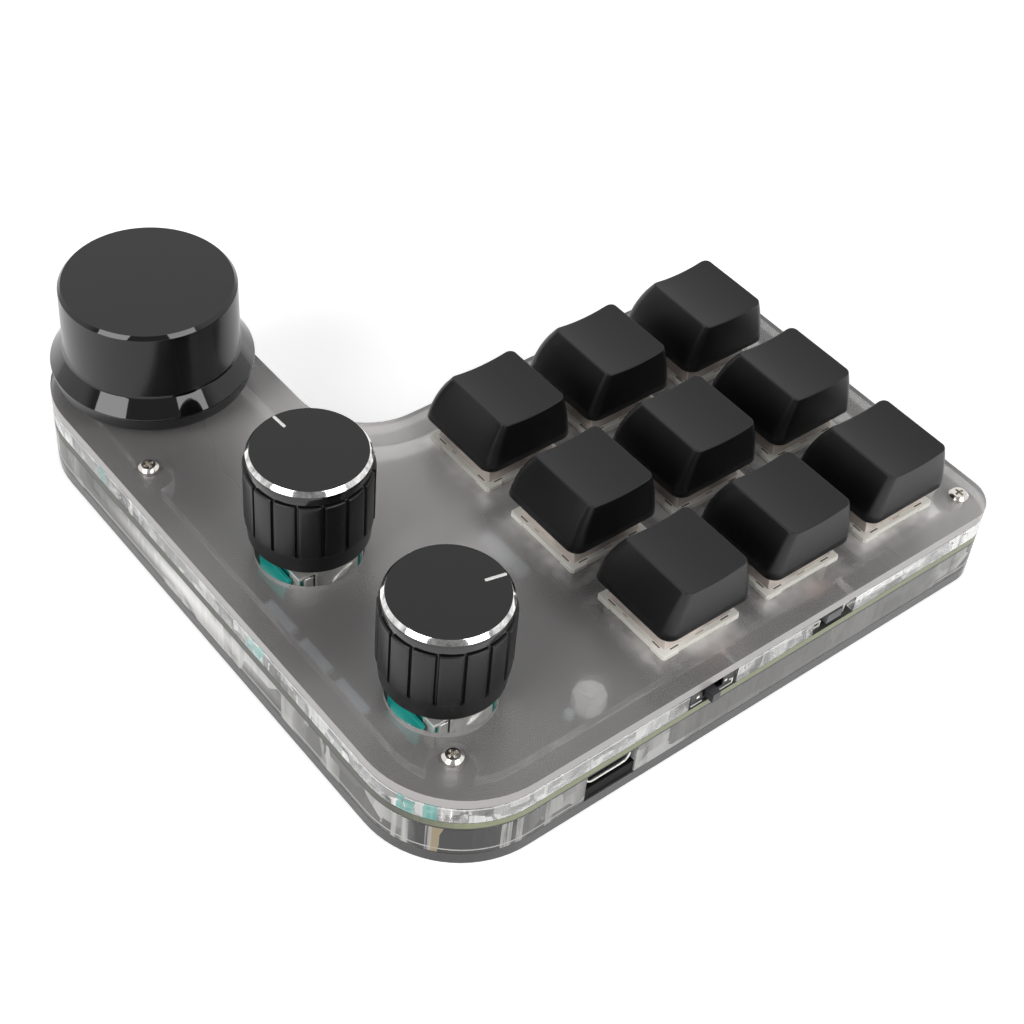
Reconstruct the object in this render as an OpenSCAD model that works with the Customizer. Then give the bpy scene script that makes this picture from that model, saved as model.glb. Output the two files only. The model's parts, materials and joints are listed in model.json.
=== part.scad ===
// Macro keypad with nine keys, two small knobs and one large knob.
// The origin is under the middle of the overall box. The ported edge faces -Y and +Z is up.
// Places on the case are counted from its left edge and its front edge, heights from the ground.

/* [Case outline] */
// Width of the strip left of the keys, from the case edge to the first key's flange
knob_strip_w = 48; // [44:0.5:60]
// Margin right of the last key's flange
margin_right = 10.6; // [9.5:0.1:16]
// Margin in front of the first row's flanges
margin_front = 6.7; // [6.3:0.1:14]
// Margin behind the last row's flanges
margin_back = 7; // [6.3:0.1:14]
// Width of the arm that carries the large knob
arm_w = 35.2; // [34.8:0.2:38]
// Distance from the back edge of the key block to the centre of the arm's round end
arm_reach = 31.4; // [28:0.2:40]
// Radius of the front left corner
corner_left_r = 17.5; // [13:0.5:18.5]
// Radius of the two right corners
corner_right_r = 6; // [5.2:0.1:8]
// Radius of the hollow where the arm meets the key block
hollow_r = 13.5; // [6:0.5:16]

/* [Layers] */
// Thickness of the frosted top plate
plate_t = 2; // [1.5:0.1:2.4]
// Thickness of the clear frame above the circuit board
upper_t = 3.5; // [3.4:0.1:4.5]
// Thickness of the circuit board
board_t = 1.6; // [1.2:0.1:2]
// Thickness of the clear frame below the circuit board
lower_t = 6; // [5.6:0.1:9]
// Thickness of the bottom plate
base_t = 2.4; // [2:0.1:4]
// Height of the rubber feet
foot_t = 1; // [0.6:0.1:3]
// Diameter of a rubber foot
foot_d = 9; // [6:0.5:10]
// Width of the wall of both clear frames
wall_w = 5; // [4.6:0.1:5.4]
// Wall left standing behind the two switch windows
window_web = 1; // [0.8:0.1:1.2]

/* [Fasteners] */
// Distance of the edge screws from the case edges
screw_inset = 5.2; // [5:0.1:5.6]
// Distance of the front left screw from the left edge and from the front edge
corner_screw = 10.3; // [9.6:0.1:10.8]
// Distance of the arm's side screw behind the key block
arm_screw_y = 12.8; // [9:0.2:14]
// Shank diameter of the screws
screw_d = 1.9; // [1.6:0.1:2.4]
// Diameter of the pan heads
screw_head_d = 3.4; // [3.2:0.1:4.2]
// Height of the pan heads
screw_head_t = 1.2; // [1:0.1:1.5]
// Length of the top screws under their heads
top_screw_len = 10; // [9.2:0.1:10.4]
// Gap between the tips of the top and bottom screws
screw_tip_gap = 0.5; // [0.2:0.1:1.5]
// Outer diameter of the brass standoffs
standoff_d = 4; // [3.4:0.1:4.6]

/* [Keys] */
// Distance between neighbouring keys
key_pitch = 22; // [20:0.1:26]
// Side of the switch flange that lies on the plate
flange_w = 15.6; // [15:0.1:16]
// Thickness of the switch flange
flange_t = 1; // [0.8:0.1:1.1]
// Side of the switch body below the flange
body_w = 13.9; // [13.6:0.1:14.1]
// Height of the switch body above the plate
housing_h = 6.6; // [6.4:0.1:6.8]
// Width of the switch body at its top, along X
housing_top_x = 10.6; // [10.4:0.1:11]
// Width of the switch body at its top, along Y
housing_top_y = 9.6; // [9.4:0.1:9.8]
// Depth of the switch body's floor below the plate's top
body_floor = 4; // [3.8:0.1:4.4]
// Travel of a key
key_travel = 4; // [3:0.1:4.1]
// Height of the stem's top above the plate
stem_top = 10.2; // [10:0.1:10.6]
// Outer diameter of the key springs
spring_d = 5; // [4.8:0.05:5.1]
// Wire diameter of the key springs
spring_wire = 0.3; // [0.2:0.02:0.36]

/* [Keycaps] */
// Side of a keycap at its base
cap_base_w = 18; // [17.6:0.1:18.4]
// Height of the cap's base above the plate
cap_base_z = 5.4; // [5.3:0.1:6]
// Height of a keycap
cap_h = 9.4; // [9:0.1:11]
// Width of a keycap's top face
cap_top_w = 12.8; // [12.2:0.1:13.4]
// Step back of the cap's front edge, from base to top
cap_front_lean = 0.2; // [0:0.1:1]
// Step back of the cap's rear edge, from base to top
cap_rear_lean = 3.4; // [3:0.1:3.8]
// Depth of the hollow in the cap's top
cap_dish = 0.7; // [0.4:0.1:1.2]
// Radius of the cap's upright corners at the base
cap_corner_r = 2; // [0.8:0.1:2.4]
// Thickness of the cap's walls at the base
cap_wall = 1.5; // [1.1:0.1:1.6]

/* [Knobs] */
// Distance of the small knobs' axes from the left edge
knob_x = 17.2; // [16.8:0.1:18.6]
// Distance of the front knob's axis from the front edge
front_knob_y = 22.1; // [21.6:0.1:26]
// Distance between the two small knobs
knob_spacing = 35.1; // [30:0.1:38]
// Radius of the holes that the encoders stand in
well_r = 8.8; // [8.6:0.1:9.2]
// Radius of a small knob
knob_r = 10.3; // [9.6:0.1:11]
// Height of a small knob's bottom above the plate
knob_gap = 4; // [3:0.1:4.5]
// Height of a small knob's top above the plate
knob_top = 21.2; // [20:0.1:24]
// Height of the black cap in a small knob's top
knob_cap_h = 2.7; // [2.2:0.1:3.2]
// Height of the plain band at a small knob's foot
knob_band_h = 3.5; // [2:0.1:5]
// Number of grooves around a small knob
groove_count = 16; // [8:1:24]
// Width of a groove
groove_w = 0.5; // [0.3:0.05:0.9]
// Depth of a groove
groove_depth = 0.35; // [0.2:0.05:0.5]
// Radius of the large knob at its widest edge
big_skirt_r = 17.1; // [16:0.1:17.3]
// Radius of the large knob's straight body
big_body_r = 14.8; // [13:0.1:15.4]
// Height of the large knob's bottom above the plate
big_gap = 3; // [2.4:0.1:4]
// Height of the large knob's top above the plate
big_top = 21.5; // [20:0.1:24]
// Distance that a knob is pushed in by
knob_push = 0.5; // [0.2:0.05:0.6]

/* [Encoders] */
// Width of an encoder across its teal base
encoder_w = 11.8; // [11:0.1:12.4]
// Depth of an encoder between its metal flanks
encoder_d = 11; // [10.6:0.1:12]
// Height of an encoder's case above the plate
encoder_top = 1; // [0.6:0.1:1.2]
// Thickness of the case's sheet metal
case_t = 0.6; // [0.4:0.05:0.7]
// Outer diameter of the shaft's bushing
bushing_d = 7.4; // [7.2:0.1:9]
// Height of the bushing's top above the plate
bushing_top = 5.5; // [4:0.1:6]
// Diameter of an encoder shaft
shaft_d = 6; // [5.6:0.1:6.2]
// Height of a shaft's top above the plate
shaft_top = 16; // [15:0.1:17]
// Depth of the flat on a shaft
shaft_flat = 1.4; // [0.8:0.1:1.8]

/* [Ports] */
// Distance of the USB socket's centre from the left edge
usb_x = 33.2; // [29:0.1:36]
// Width of the USB opening in the lower frame
usb_window_w = 10; // [9.4:0.1:12]
// Width of the USB shell
usb_w = 8.94; // [8.8:0.02:9.1]
// Height of the USB shell
usb_h = 3.26; // [3.1:0.02:3.4]
// Length of the USB shell
usb_len = 7.35; // [6.5:0.05:8]
// Distance of the USB shell's mouth behind the case edge
usb_setback = 0.9; // [0.4:0.05:1.4]
// Distance of the slide switch's centre from the left edge
slide_x = 53.15; // [50:0.05:56]
// Distance of the side button's centre from the left edge
button_x = 79.45; // [74:0.05:84]
// Width of the slide switch
slide_w = 8.9; // [8:0.1:9.2]
// Width of the side button's case
button_case_w = 6.9; // [6:0.1:7.6]
// Height of both switches on the circuit board
port_h = 3.2; // [3:0.1:3.25]
// Width of the slide switch's lever
lever_w = 1.6; // [1.2:0.1:2]
// Height of the slide switch's lever
lever_h = 1.9; // [1.5:0.1:2]
// Length that the lever stands out in front of the case
lever_proud = 1.5; // [0.8:0.1:2.5]
// Travel of the slide switch's lever
slide_travel = 2; // [1.5:0.1:2.2]
// Width of the side button's plunger
plunger_w = 3.4; // [2.6:0.1:4]
// Height of the side button's plunger
plunger_h = 1.9; // [1.5:0.1:2]
// Travel of the side button's plunger
plunger_travel = 0.5; // [0.2:0.05:0.6]

/* [Board parts] */
// Side of the controller chip under the circuit board
chip_w = 10; // [5:0.5:12]
// Thickness of the controller chip
chip_t = 1.4; // [0.8:0.1:1.5]
// Width of the white socket across its corners
socket_w = 5.5; // [4:0.1:6]
// Distance of the white socket's centre right of the USB socket's
socket_shift = 2.5; // [1.5:0.1:3]
// Distance of the white socket's centre from the front edge
socket_y = 9.3; // [8.6:0.1:10]
// Width of the small parts along the left edge
bar_w = 2.4; // [1.6:0.1:3]
// Length of the small parts along the left edge
bar_len = 7.2; // [5:0.1:8]
// Height of the small parts on the circuit board
bar_h = 1.2; // [0.8:0.1:1.6]
// Distance between the small parts along the left edge
bar_step = 9.6; // [8.6:0.1:11]
// Distance of the first of them behind the front knob's axis
bar_start = 8.6; // [7:0.1:10]
// Length of the part left of the keys
strip_len = 10.5; // [8:0.1:14]

/* [Fits] */
// Gap around what slides or turns in a close guide
run_gap = 0.06; // [0.03:0.01:0.1]
// Gap around what stands still in a hole
set_gap = 0.1; // [0.05:0.01:0.15]
// Gap that keeps moving pieces clear of fixed ones
clear_gap = 0.3; // [0.2:0.02:0.35]

/* [Hidden] */
$fn = 96;
KEYS_PER_SIDE = 3;
cut = 1; // how far a cutter runs past the face that it opens
hair = 0.001; // the same where a longer run would reach another face

// Heights from the ground
base_z = foot_t;
lower_z = base_z + base_t;
board_z = lower_z + lower_t;
upper_z = board_z + board_t;
plate_z = upper_z + upper_t;
top_z = plate_z + plate_t;

// The case's outline
key_span = (KEYS_PER_SIDE - 1) * key_pitch + flange_w;
case_w = knob_strip_w + key_span + margin_right;
block_d = margin_front + key_span + margin_back;
arm_r = arm_w / 2;
arm_y = block_d + arm_reach;
case_d = arm_y + arm_r;
window_d = wall_w - window_web;

// Places of the keys, knobs, screws and feet, from the left edge and the front edge
first_key = [knob_strip_w + flange_w / 2, margin_front + flange_w / 2];
KEYS = [for (row = [0:KEYS_PER_SIDE - 1], column = [0:KEYS_PER_SIDE - 1])
    first_key + key_pitch * [column, row]];
FRONT_KNOB = [knob_x, front_knob_y];
MIDDLE_KNOB = [knob_x, front_knob_y + knob_spacing];
BIG_KNOB = [arm_r, arm_y];
KNOBS = [FRONT_KNOB, MIDDLE_KNOB, BIG_KNOB];
SCREWS = [
    [corner_screw, corner_screw],
    [case_w - screw_inset, screw_inset],
    [case_w - screw_inset, block_d - screw_inset],
    [screw_inset, block_d + arm_screw_y],
    [arm_r, case_d - screw_inset],
];
SOCKET = [usb_x + socket_shift, socket_y];
foot_inset = 2 * wall_w + foot_d / 2;
corner_foot = foot_inset + corner_left_r / 4;
FEET = [
    [corner_foot, corner_foot],
    [case_w - foot_inset, foot_inset],
    [case_w - foot_inset, block_d - foot_inset],
    BIG_KNOB,
];

// Sizes that follow from the ones above
hole_w = body_w + set_gap;
screw_hole_r = screw_d / 2 + set_gap;
thread_r = screw_d / 2 + run_gap;
boss_wall = 2;
boss_r = standoff_d / 2 + boss_wall;
screw_head_r = screw_head_d / 2;
bottom_screw_len = top_z - base_z - top_screw_len - screw_tip_gap;
pin_past_board = 1; // length that pins and posts stand out below the circuit board
pin_len = board_t + pin_past_board;

// Inside a key switch, from the plate's top
switch_wall = 0.95;
switch_ceiling = 1;
stem_play = 0.2;
block_inset = 2.2;
block_h = 4.2;
block_top = housing_h - switch_ceiling - stem_play;
recess_top = block_top - 1.4;
seat = plate_t + upper_t;
post_foot = -seat - pin_len;
post_floor = post_foot + 1;
spring_r = (spring_d - spring_wire) / 2;
spring_play = 0.15;
tube_r = spring_d / 2 - spring_wire - spring_play;
tube_top = recess_top - key_travel - 2 * clear_gap;
rod_r = 1.1;
rod_play = 0.1;
rod_foot = post_floor + key_travel + 4 * clear_gap;
post_r = rod_r + switch_wall;
pad_x = 7;
pad_y = 5.6;
cross_len = 4;
cross_t = 1.2;
cross_h = 3.4;
pad_top = stem_top - cross_h;
cap_post_r = 2.7;
cap_post_foot = pad_top + 0.1;
cap_roof = 1.9;
join = 0.5; // how far shapes of one piece run into each other

// Inside an encoder and a knob
spigot_r = 2.2;
spigot_flats = 3.4;
rotor_r = encoder_d / 2 - case_t;
rotor_h = 2.6;
rotor_z = upper_z + 1.2;
rotor_play = 0.2;
shaft_foot_z = rotor_z + rotor_h + knob_push + clear_gap;
knob_recess_r = bushing_d / 2 + 2.2;
knob_recess_top = bushing_top + knob_push + 2.5;
bore_top = shaft_top + clear_gap;

// Inside the two switches of the ported edge
port_roof = 0.3;
port_wall = 0.5;
port_play = 0.2;
slide_face = 0.4;
button_face = 1.2;
lever_z = upper_z + port_h - port_roof - run_gap - lever_h;
plunger_z = upper_z + port_h - port_roof - run_gap - plunger_h;

// Puts what is placed from the case's left and front edges into the part's own frame
module on_case(z = 0) {
    translate([-case_w / 2, -(case_d - lever_proud) / 2, z]) children();
}

module at(place, z = 0) {
    translate([place[0], place[1], z]) children();
}

module block(size, z = 0) {
    translate([-size[0] / 2, -size[1] / 2, z]) cube(size);
}

// The outline that every layer shares, moved inwards by inset
module outline(inset = 0) {
    overlap = 1;
    right_x = case_w - corner_right_r;
    translate([inset, corner_left_r]) square([arm_w - 2 * inset, arm_y - corner_left_r]);
    translate([arm_r, arm_y]) circle(r = arm_r - inset);
    translate([corner_left_r, corner_left_r]) circle(r = corner_left_r - inset);
    translate([corner_left_r, inset]) square([right_x - corner_left_r, block_d - 2 * inset]);
    translate([right_x - overlap, corner_right_r])
        square([corner_right_r - inset + overlap, block_d - 2 * corner_right_r]);
    for (y = [corner_right_r, block_d - corner_right_r]) {
        translate([right_x, y]) circle(r = corner_right_r - inset);
    }
    difference() {
        translate([arm_w - inset - overlap, block_d - inset - overlap])
            square(hollow_r + inset + overlap);
        translate([arm_w + hollow_r, block_d + hollow_r]) circle(r = hollow_r + inset);
    }
}

module layer(thickness) {
    linear_extrude(thickness) outline();
}

module bores(places, r, depth) {
    for (place = places) at(place, -cut) cylinder(r = r, h = depth + 2 * cut);
}

// A ring of the case's outline with a boss around each screw
module ring(thickness, bore_r) {
    difference() {
        union() {
            difference() {
                layer(thickness);
                translate([0, 0, -cut]) linear_extrude(thickness + 2 * cut) outline(wall_w);
            }
            for (place = SCREWS) at(place) cylinder(r = boss_r, h = thickness);
        }
        bores(SCREWS, bore_r, thickness);
    }
}

module top_plate() {
    color("dimgray") on_case(plate_z) difference() {
        layer(plate_t);
        for (place = KEYS) at(place) block([hole_w, hole_w, plate_t + 2 * cut], -cut);
        bores(KNOBS, well_r, plate_t);
        bores(SCREWS, screw_hole_r, plate_t);
    }
}

module window(centre_x, width, depth, height) {
    translate([centre_x - width / 2, -cut, -cut]) cube([width, depth + cut, height + 2 * cut]);
}

module upper_frame() {
    color("gainsboro") on_case(upper_z) difference() {
        ring(upper_t, screw_hole_r);
        window(slide_x, slide_w + 4 * clear_gap, window_d, upper_t);
        window(button_x, button_case_w + 8 * clear_gap, window_d, upper_t);
    }
}

module lower_frame() {
    color("gainsboro") on_case(lower_z) difference() {
        ring(lower_t, standoff_d / 2 + set_gap);
        window(usb_x, usb_window_w, wall_w + cut, lower_t);
    }
}

// Half the distance between a switch's two contact pins, and their offset to the rear
pin_x = 3.2;
pin_y = 5;
pin_r = 0.75;
tab_w = 2;
tab_y = encoder_d / 2 + case_t / 2;
lead_r = 0.5;
lead_step = 2.5;
lead_x = encoder_w / 2 - 1.2;

module circuit_board() {
    color("olivedrab") on_case(board_z) difference() {
        layer(board_t);
        bores(SCREWS, screw_hole_r, board_t);
        bores(KEYS, post_r + set_gap, board_t);
        for (place = KEYS, side = [-1, 1]) {
            bores([place + [side * pin_x, pin_y]], pin_r + set_gap, board_t);
        }
        for (place = KNOBS, side = [-1, 1]) {
            at(place + [0, side * tab_y], -cut)
                block([tab_w + 2 * set_gap, case_t + 2 * set_gap, board_t + 2 * cut]);
            bores([place + [side * lead_x, lead_step], place + [side * lead_x, -lead_step]],
                lead_r + set_gap, board_t);
        }
    }
}

module bottom_plate() {
    color("dimgray") on_case(base_z) difference() {
        layer(base_t);
        bores(SCREWS, screw_hole_r, base_t);
        for (place = SCREWS) at(place) countersink(set_gap);
    }
}

module countersink(gap = 0) {
    sink_h = screw_head_r - screw_d / 2;
    cylinder(r1 = screw_head_r + gap, r2 = screw_d / 2 + gap, h = sink_h);
}

// The crossed recess of a screw head, cut down from z = 0
module cross_recess() {
    arm_l = screw_head_d / 2;
    arm_t = screw_head_d / 8;
    depth = screw_head_t * 2 / 3;
    for (turn = [0, 90]) rotate(turn) block([arm_l, arm_t, depth + cut], -depth);
}

module top_screws() {
    edge_h = screw_head_t * 0.6;
    color("silver") on_case(top_z) for (place = SCREWS) at(place) difference() {
        union() {
            translate([0, 0, -top_screw_len]) cylinder(r = screw_d / 2, h = top_screw_len);
            cylinder(r = screw_head_r, h = edge_h);
            translate([0, 0, edge_h])
                cylinder(r1 = screw_head_r, r2 = screw_head_r * 0.7, h = screw_head_t - edge_h);
        }
        translate([0, 0, screw_head_t]) cross_recess();
    }
}

module standoffs() {
    color("goldenrod") on_case(lower_z) for (place = SCREWS) at(place) difference() {
        cylinder(r = standoff_d / 2, h = lower_t);
        translate([0, 0, -cut]) cylinder(r = thread_r, h = lower_t + 2 * cut);
    }
}

module bottom_screws() {
    color("silver") on_case(base_z) for (place = SCREWS) at(place) difference() {
        union() {
            countersink();
            cylinder(r = screw_d / 2, h = bottom_screw_len);
        }
        mirror([0, 0, 1]) cross_recess();
    }
}

module feet() {
    rim = 0.3;
    color("black") on_case() for (place = FEET) at(place) {
        cylinder(r1 = foot_d / 2 - rim, r2 = foot_d / 2, h = rim);
        translate([0, 0, rim]) cylinder(r = foot_d / 2, h = foot_t - rim);
    }
}

// A flat oval in X and Z with its centre at z = 0, run along +Y
module oval(width, height, length) {
    r = height / 2;
    rotate([-90, 0, 0]) linear_extrude(length) {
        square([width - height, height], center = true);
        for (side = [-1, 1]) translate([side * (width / 2 - r), 0]) circle(r = r);
    }
}

usb_wall = 0.3;
usb_z = board_z - usb_h / 2;
usb_back = 1.6;

module usb_shell() {
    color("silver") on_case() translate([usb_x, usb_setback, usb_z]) difference() {
        oval(usb_w, usb_h, usb_len);
        translate([0, -cut, 0])
            oval(usb_w - 2 * usb_wall, usb_h - 2 * usb_wall, usb_len + 2 * cut);
    }
}

module usb_tongue() {
    tongue_w = 6.7;
    tongue_t = 0.7;
    mouth = 0.7;
    color("black") on_case() translate([usb_x, usb_setback, usb_z]) {
        translate([0, usb_len - usb_back, 0])
            oval(usb_w - 2 * usb_wall, usb_h - 2 * usb_wall, usb_back);
        translate([-tongue_w / 2, mouth, -tongue_t / 2])
            cube([tongue_w, usb_len - usb_back - mouth, tongue_t]);
    }
}

slide_rest = slide_x - slide_travel * 0.4;
slide_depth = window_d - slide_face - port_play;
carriage_step = 0.8;

module slide_switch_case() {
    slot_w = lever_w + slide_travel + 2 * clear_gap;
    slot_x = slide_rest - lever_w / 2 - clear_gap;
    cavity_step = 1;
    color("dimgray") on_case(upper_z) difference() {
        translate([slide_x - slide_w / 2, slide_face, 0]) cube([slide_w, slide_depth, port_h]);
        translate([slot_x, slide_face - cut, lever_z - upper_z - run_gap])
            cube([slot_w, port_wall + 2 * cut, lever_h + 2 * run_gap]);
        translate([slot_x - cavity_step, slide_face + port_wall, port_wall])
            cube([slot_w + 2 * cavity_step, slide_depth - 2 * port_wall, port_h - port_wall - port_roof]);
    }
}

module slide_switch_lever() {
    inner = slide_face + port_wall + run_gap;
    carriage_d = slide_depth - 2 * port_wall - 2 * run_gap;
    carriage_drop = 0.1;
    color("dimgray") on_case(lever_z) translate([slide_rest, 0, 0]) {
        translate([-lever_w / 2, -lever_proud, 0])
            cube([lever_w, lever_proud + inner + carriage_d / 2, lever_h]);
        translate([-lever_w / 2 - carriage_step, inner, -carriage_drop])
            cube([lever_w + 2 * carriage_step, carriage_d, lever_h + carriage_drop]);
    }
}

module side_button_case() {
    depth = window_d - button_face - port_play;
    color("silver") on_case(upper_z) difference() {
        translate([button_x - button_case_w / 2, button_face, 0])
            cube([button_case_w, depth, port_h]);
        translate([
            button_x - plunger_w / 2 - run_gap, button_face - cut, plunger_z - upper_z - run_gap
        ]) cube([plunger_w + 2 * run_gap, depth - port_wall + cut, plunger_h + 2 * run_gap]);
    }
}

module side_button_plunger() {
    depth = window_d - port_play - port_wall - plunger_travel - clear_gap;
    color("dimgray") on_case(plunger_z) translate([button_x - plunger_w / 2, 0, 0])
        cube([plunger_w, depth, plunger_h]);
}

// The fixed lower half of one key switch, from the plate's top at z = 0
module switch_bottom() {
    inner_w = body_w - 2 * switch_wall;
    difference() {
        union() {
            block([body_w, body_w, seat + flange_t / 2], -seat);
            block([flange_w, flange_w, flange_t]);
            translate([0, 0, post_foot]) cylinder(r = post_r, h = pin_len + join);
        }
        block([inner_w, inner_w, body_floor + flange_t + cut], -body_floor);
        translate([0, 0, post_floor]) cylinder(r = rod_r + rod_play, h = seat);
    }
    difference() {
        translate([0, 0, -body_floor - join])
            cylinder(r = tube_r, h = tube_top + body_floor + join);
        translate([0, 0, -body_floor - cut])
            cylinder(r = rod_r + rod_play, h = tube_top + body_floor + 2 * cut);
    }
    for (side = [-1, 1]) {
        translate([side * pin_x, pin_y, post_foot]) cylinder(r = pin_r, h = pin_len + join);
    }
}

module switch_bottoms() {
    color("whitesmoke") on_case(top_z) for (place = KEYS) at(place) switch_bottom();
}

// A block whose four sides lean in, from base to top
module tapered(base, top, height) {
    intersection() {
        rotate([90, 0, 0]) linear_extrude(base[1] + cut, center = true) polygon([
            [-base[0] / 2, 0], [base[0] / 2, 0], [top[0] / 2, height], [-top[0] / 2, height]
        ]);
        rotate([90, 0, 90]) linear_extrude(base[0] + cut, center = true) polygon([
            [-base[1] / 2, 0], [base[1] / 2, 0], [top[1] / 2, height], [-top[1] / 2, height]
        ]);
    }
}

// The fixed upper half of one key switch, from the top of the flange at z = 0
module switch_top() {
    height = housing_h - flange_t;
    top = [housing_top_x, housing_top_y];
    base = [body_w, body_w];
    inner_h = height - switch_ceiling;
    walls = 2 * switch_wall * [1, 1];
    lean = (base - top) * inner_h / height;
    difference() {
        tapered(base, top, height);
        translate([0, 0, -hair]) tapered(base - walls, base - lean - walls, inner_h);
        block([pad_x + 4 * run_gap, pad_y + 2 * stem_play, height + 2 * cut], -cut);
    }
}

module switch_tops() {
    color("whitesmoke") on_case(top_z + flange_t) for (place = KEYS) at(place) switch_top();
}

// The sliding stem of one key switch, from the plate's top at z = 0
module stem(number) {
    block_z = block_top - block_h;
    color("sienna") on_case(top_z) at(KEYS[number]) {
        difference() {
            union() {
                block([housing_top_x - block_inset, housing_top_y - block_inset, block_h], block_z);
                block([pad_x, pad_y, pad_top - block_top + join], block_top - join);
            }
            translate([0, 0, block_z - cut])
                cylinder(r = spring_d / 2 + spring_play, h = recess_top - block_z + cut);
        }
        translate([0, 0, rod_foot]) cylinder(r = rod_r, h = recess_top + join - rod_foot);
        for (turn = [0, 90]) rotate(turn)
            block([cross_len, cross_t, cross_h + join], pad_top - join);
    }
}

leaf = 0.05;

// A thin plate with round corners, shifted along Y, as one end of a hull
module corner_plate(width, depth, shift, r, z) {
    translate([0, shift, z]) for (x = [-1, 1], y = [-1, 1]) {
        translate([x * (width / 2 - r), y * (depth / 2 - r), 0]) cylinder(r = r, h = leaf, $fn = 24);
    }
}

// One keycap, from the plate's top at z = 0
module keycap(number) {
    top_d = cap_base_w - cap_front_lean - cap_rear_lean;
    top_shift = (cap_front_lean - cap_rear_lean) / 2;
    dish_r = (pow(cap_top_w / 2, 2) + pow(cap_dish, 2)) / (2 * cap_dish);
    cap_top_z = cap_base_z + cap_h;
    roof_z = cap_top_z - cap_dish - cap_roof;
    cap_thickening = 0.7;
    up = (roof_z - cap_base_z) / cap_h;
    inner_w = cap_base_w - 2 * cap_wall;
    inner_top_w = cap_base_w + (cap_top_w - cap_base_w) * up - 2 * cap_wall - cap_thickening;
    inner_top_d = cap_base_w + (top_d - cap_base_w) * up - 2 * cap_wall - cap_thickening;
    color("dimgray") on_case(top_z) at(KEYS[number]) {
        difference() {
            hull() {
                corner_plate(cap_base_w, cap_base_w, 0, cap_corner_r, cap_base_z);
                corner_plate(cap_top_w, top_d, top_shift, cap_corner_r * 0.6, cap_top_z - leaf);
            }
            hull() {
                corner_plate(inner_w, inner_w, 0, cap_corner_r / 2, cap_base_z - leaf);
                corner_plate(inner_top_w, inner_top_d, top_shift * up, cap_corner_r / 2, roof_z);
            }
            translate([0, 0, cap_top_z - cap_dish + dish_r]) rotate([90, 0, 0])
                cylinder(r = dish_r, h = 2 * cap_base_w, center = true);
        }
        difference() {
            translate([0, 0, cap_post_foot])
                cylinder(r = cap_post_r, h = roof_z - cap_post_foot + join);
            for (turn = [0, 90]) rotate(turn) block(
                [cross_len + run_gap, cross_t + run_gap, stem_top - cap_post_foot + cut],
                cap_post_foot - cut
            );
        }
    }
}

// The centre line of a key spring: flat closed coils at both ends, open ones between
spring_turns = 7;
spring_steps = 10;
spring_sides = 5;
spring_len = recess_top + body_floor;
closed_turn = 0.75;
function spring_rise(turn) = min(max((turn - closed_turn) / (spring_turns - 2 * closed_turn), 0), 1);
function spring_height(turn) = spring_wire / 2 + (spring_len - spring_wire) * spring_rise(turn);
function spring_ring(step) = [for (side = [0:spring_sides - 1])
    let (around = 360 * step / spring_steps, across = 360 * side / spring_sides,
        r = spring_r + spring_wire / 2 * cos(across))
    [r * cos(around), r * sin(around),
        spring_height(step / spring_steps) + spring_wire / 2 * sin(across)]];

module spring(number) {
    rings = spring_turns * spring_steps;
    points = [for (step = [0:rings]) each spring_ring(step)];
    skin = [for (step = [0:rings - 1], side = [0:spring_sides - 1])
        let (a = step * spring_sides + side, b = step * spring_sides + (side + 1) % spring_sides)
        [a, a + spring_sides, b + spring_sides, b]];
    first = [for (side = [0:spring_sides - 1]) side];
    last = [for (side = [spring_sides - 1:-1:0]) rings * spring_sides + side];
    color("silver") on_case(top_z - body_floor) at(KEYS[number])
        polyhedron(points = points, faces = concat(skin, [first], [last]));
}

// The teal base of one encoder, from the circuit board's top at z = 0
module encoder_base() {
    height = encoder_top + seat - case_t;
    difference() {
        block([encoder_w, encoder_d, height]);
        translate([0, 0, rotor_z - upper_z - rotor_play])
            cylinder(r = rotor_r + clear_gap, h = height);
        translate([0, 0, -cut]) cylinder(r = spigot_r + clear_gap, h = height);
    }
    for (x = [-1, 1], y = [-1, 1]) {
        translate([x * lead_x, y * lead_step, -pin_len]) cylinder(r = lead_r, h = pin_len + join);
    }
}

module encoder_bases() {
    color("teal") on_case(upper_z) for (place = KNOBS) at(place) encoder_base();
}

// The bent metal case of one encoder with its bushing, from the circuit board's top at z = 0
module encoder_case() {
    height = encoder_top + seat;
    lid_w = encoder_w + 0.4;
    flank_w = encoder_w - 1.6;
    difference() {
        union() {
            block([lid_w, encoder_d + 2 * case_t, case_t], height - case_t);
            for (side = [-1, 1]) translate([0, side * tab_y, 0]) {
                block([flank_w, case_t, height]);
                block([tab_w, case_t, pin_len + join], -pin_len);
            }
            translate([0, 0, height - case_t])
                cylinder(d = bushing_d, h = bushing_top - encoder_top + case_t);
        }
        cylinder(r = shaft_d / 2 + run_gap, h = height + bushing_top);
    }
}

module encoder_cases() {
    color("silver") on_case(upper_z) for (place = KNOBS) at(place) encoder_case();
}

// A round bar with two flats, which keys a shaft to its rotor
module spigot(r, flats, height) {
    intersection() {
        cylinder(r = r, h = height);
        block([2 * r, flats, height]);
    }
}

module rotor(number) {
    color("black") on_case(rotor_z) at(KNOBS[number]) difference() {
        cylinder(r = rotor_r, h = rotor_h);
        translate([0, 0, -cut]) spigot(spigot_r + run_gap, spigot_flats + 2 * run_gap, rotor_h + 2 * cut);
    }
}

// A round bar with one flat, from z = 0
module flatted(r, height, flat_z, flat) {
    difference() {
        cylinder(r = r, h = height);
        translate([-r - cut, r - flat, flat_z]) cube([2 * (r + cut), 2 * r, height]);
    }
}

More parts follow.
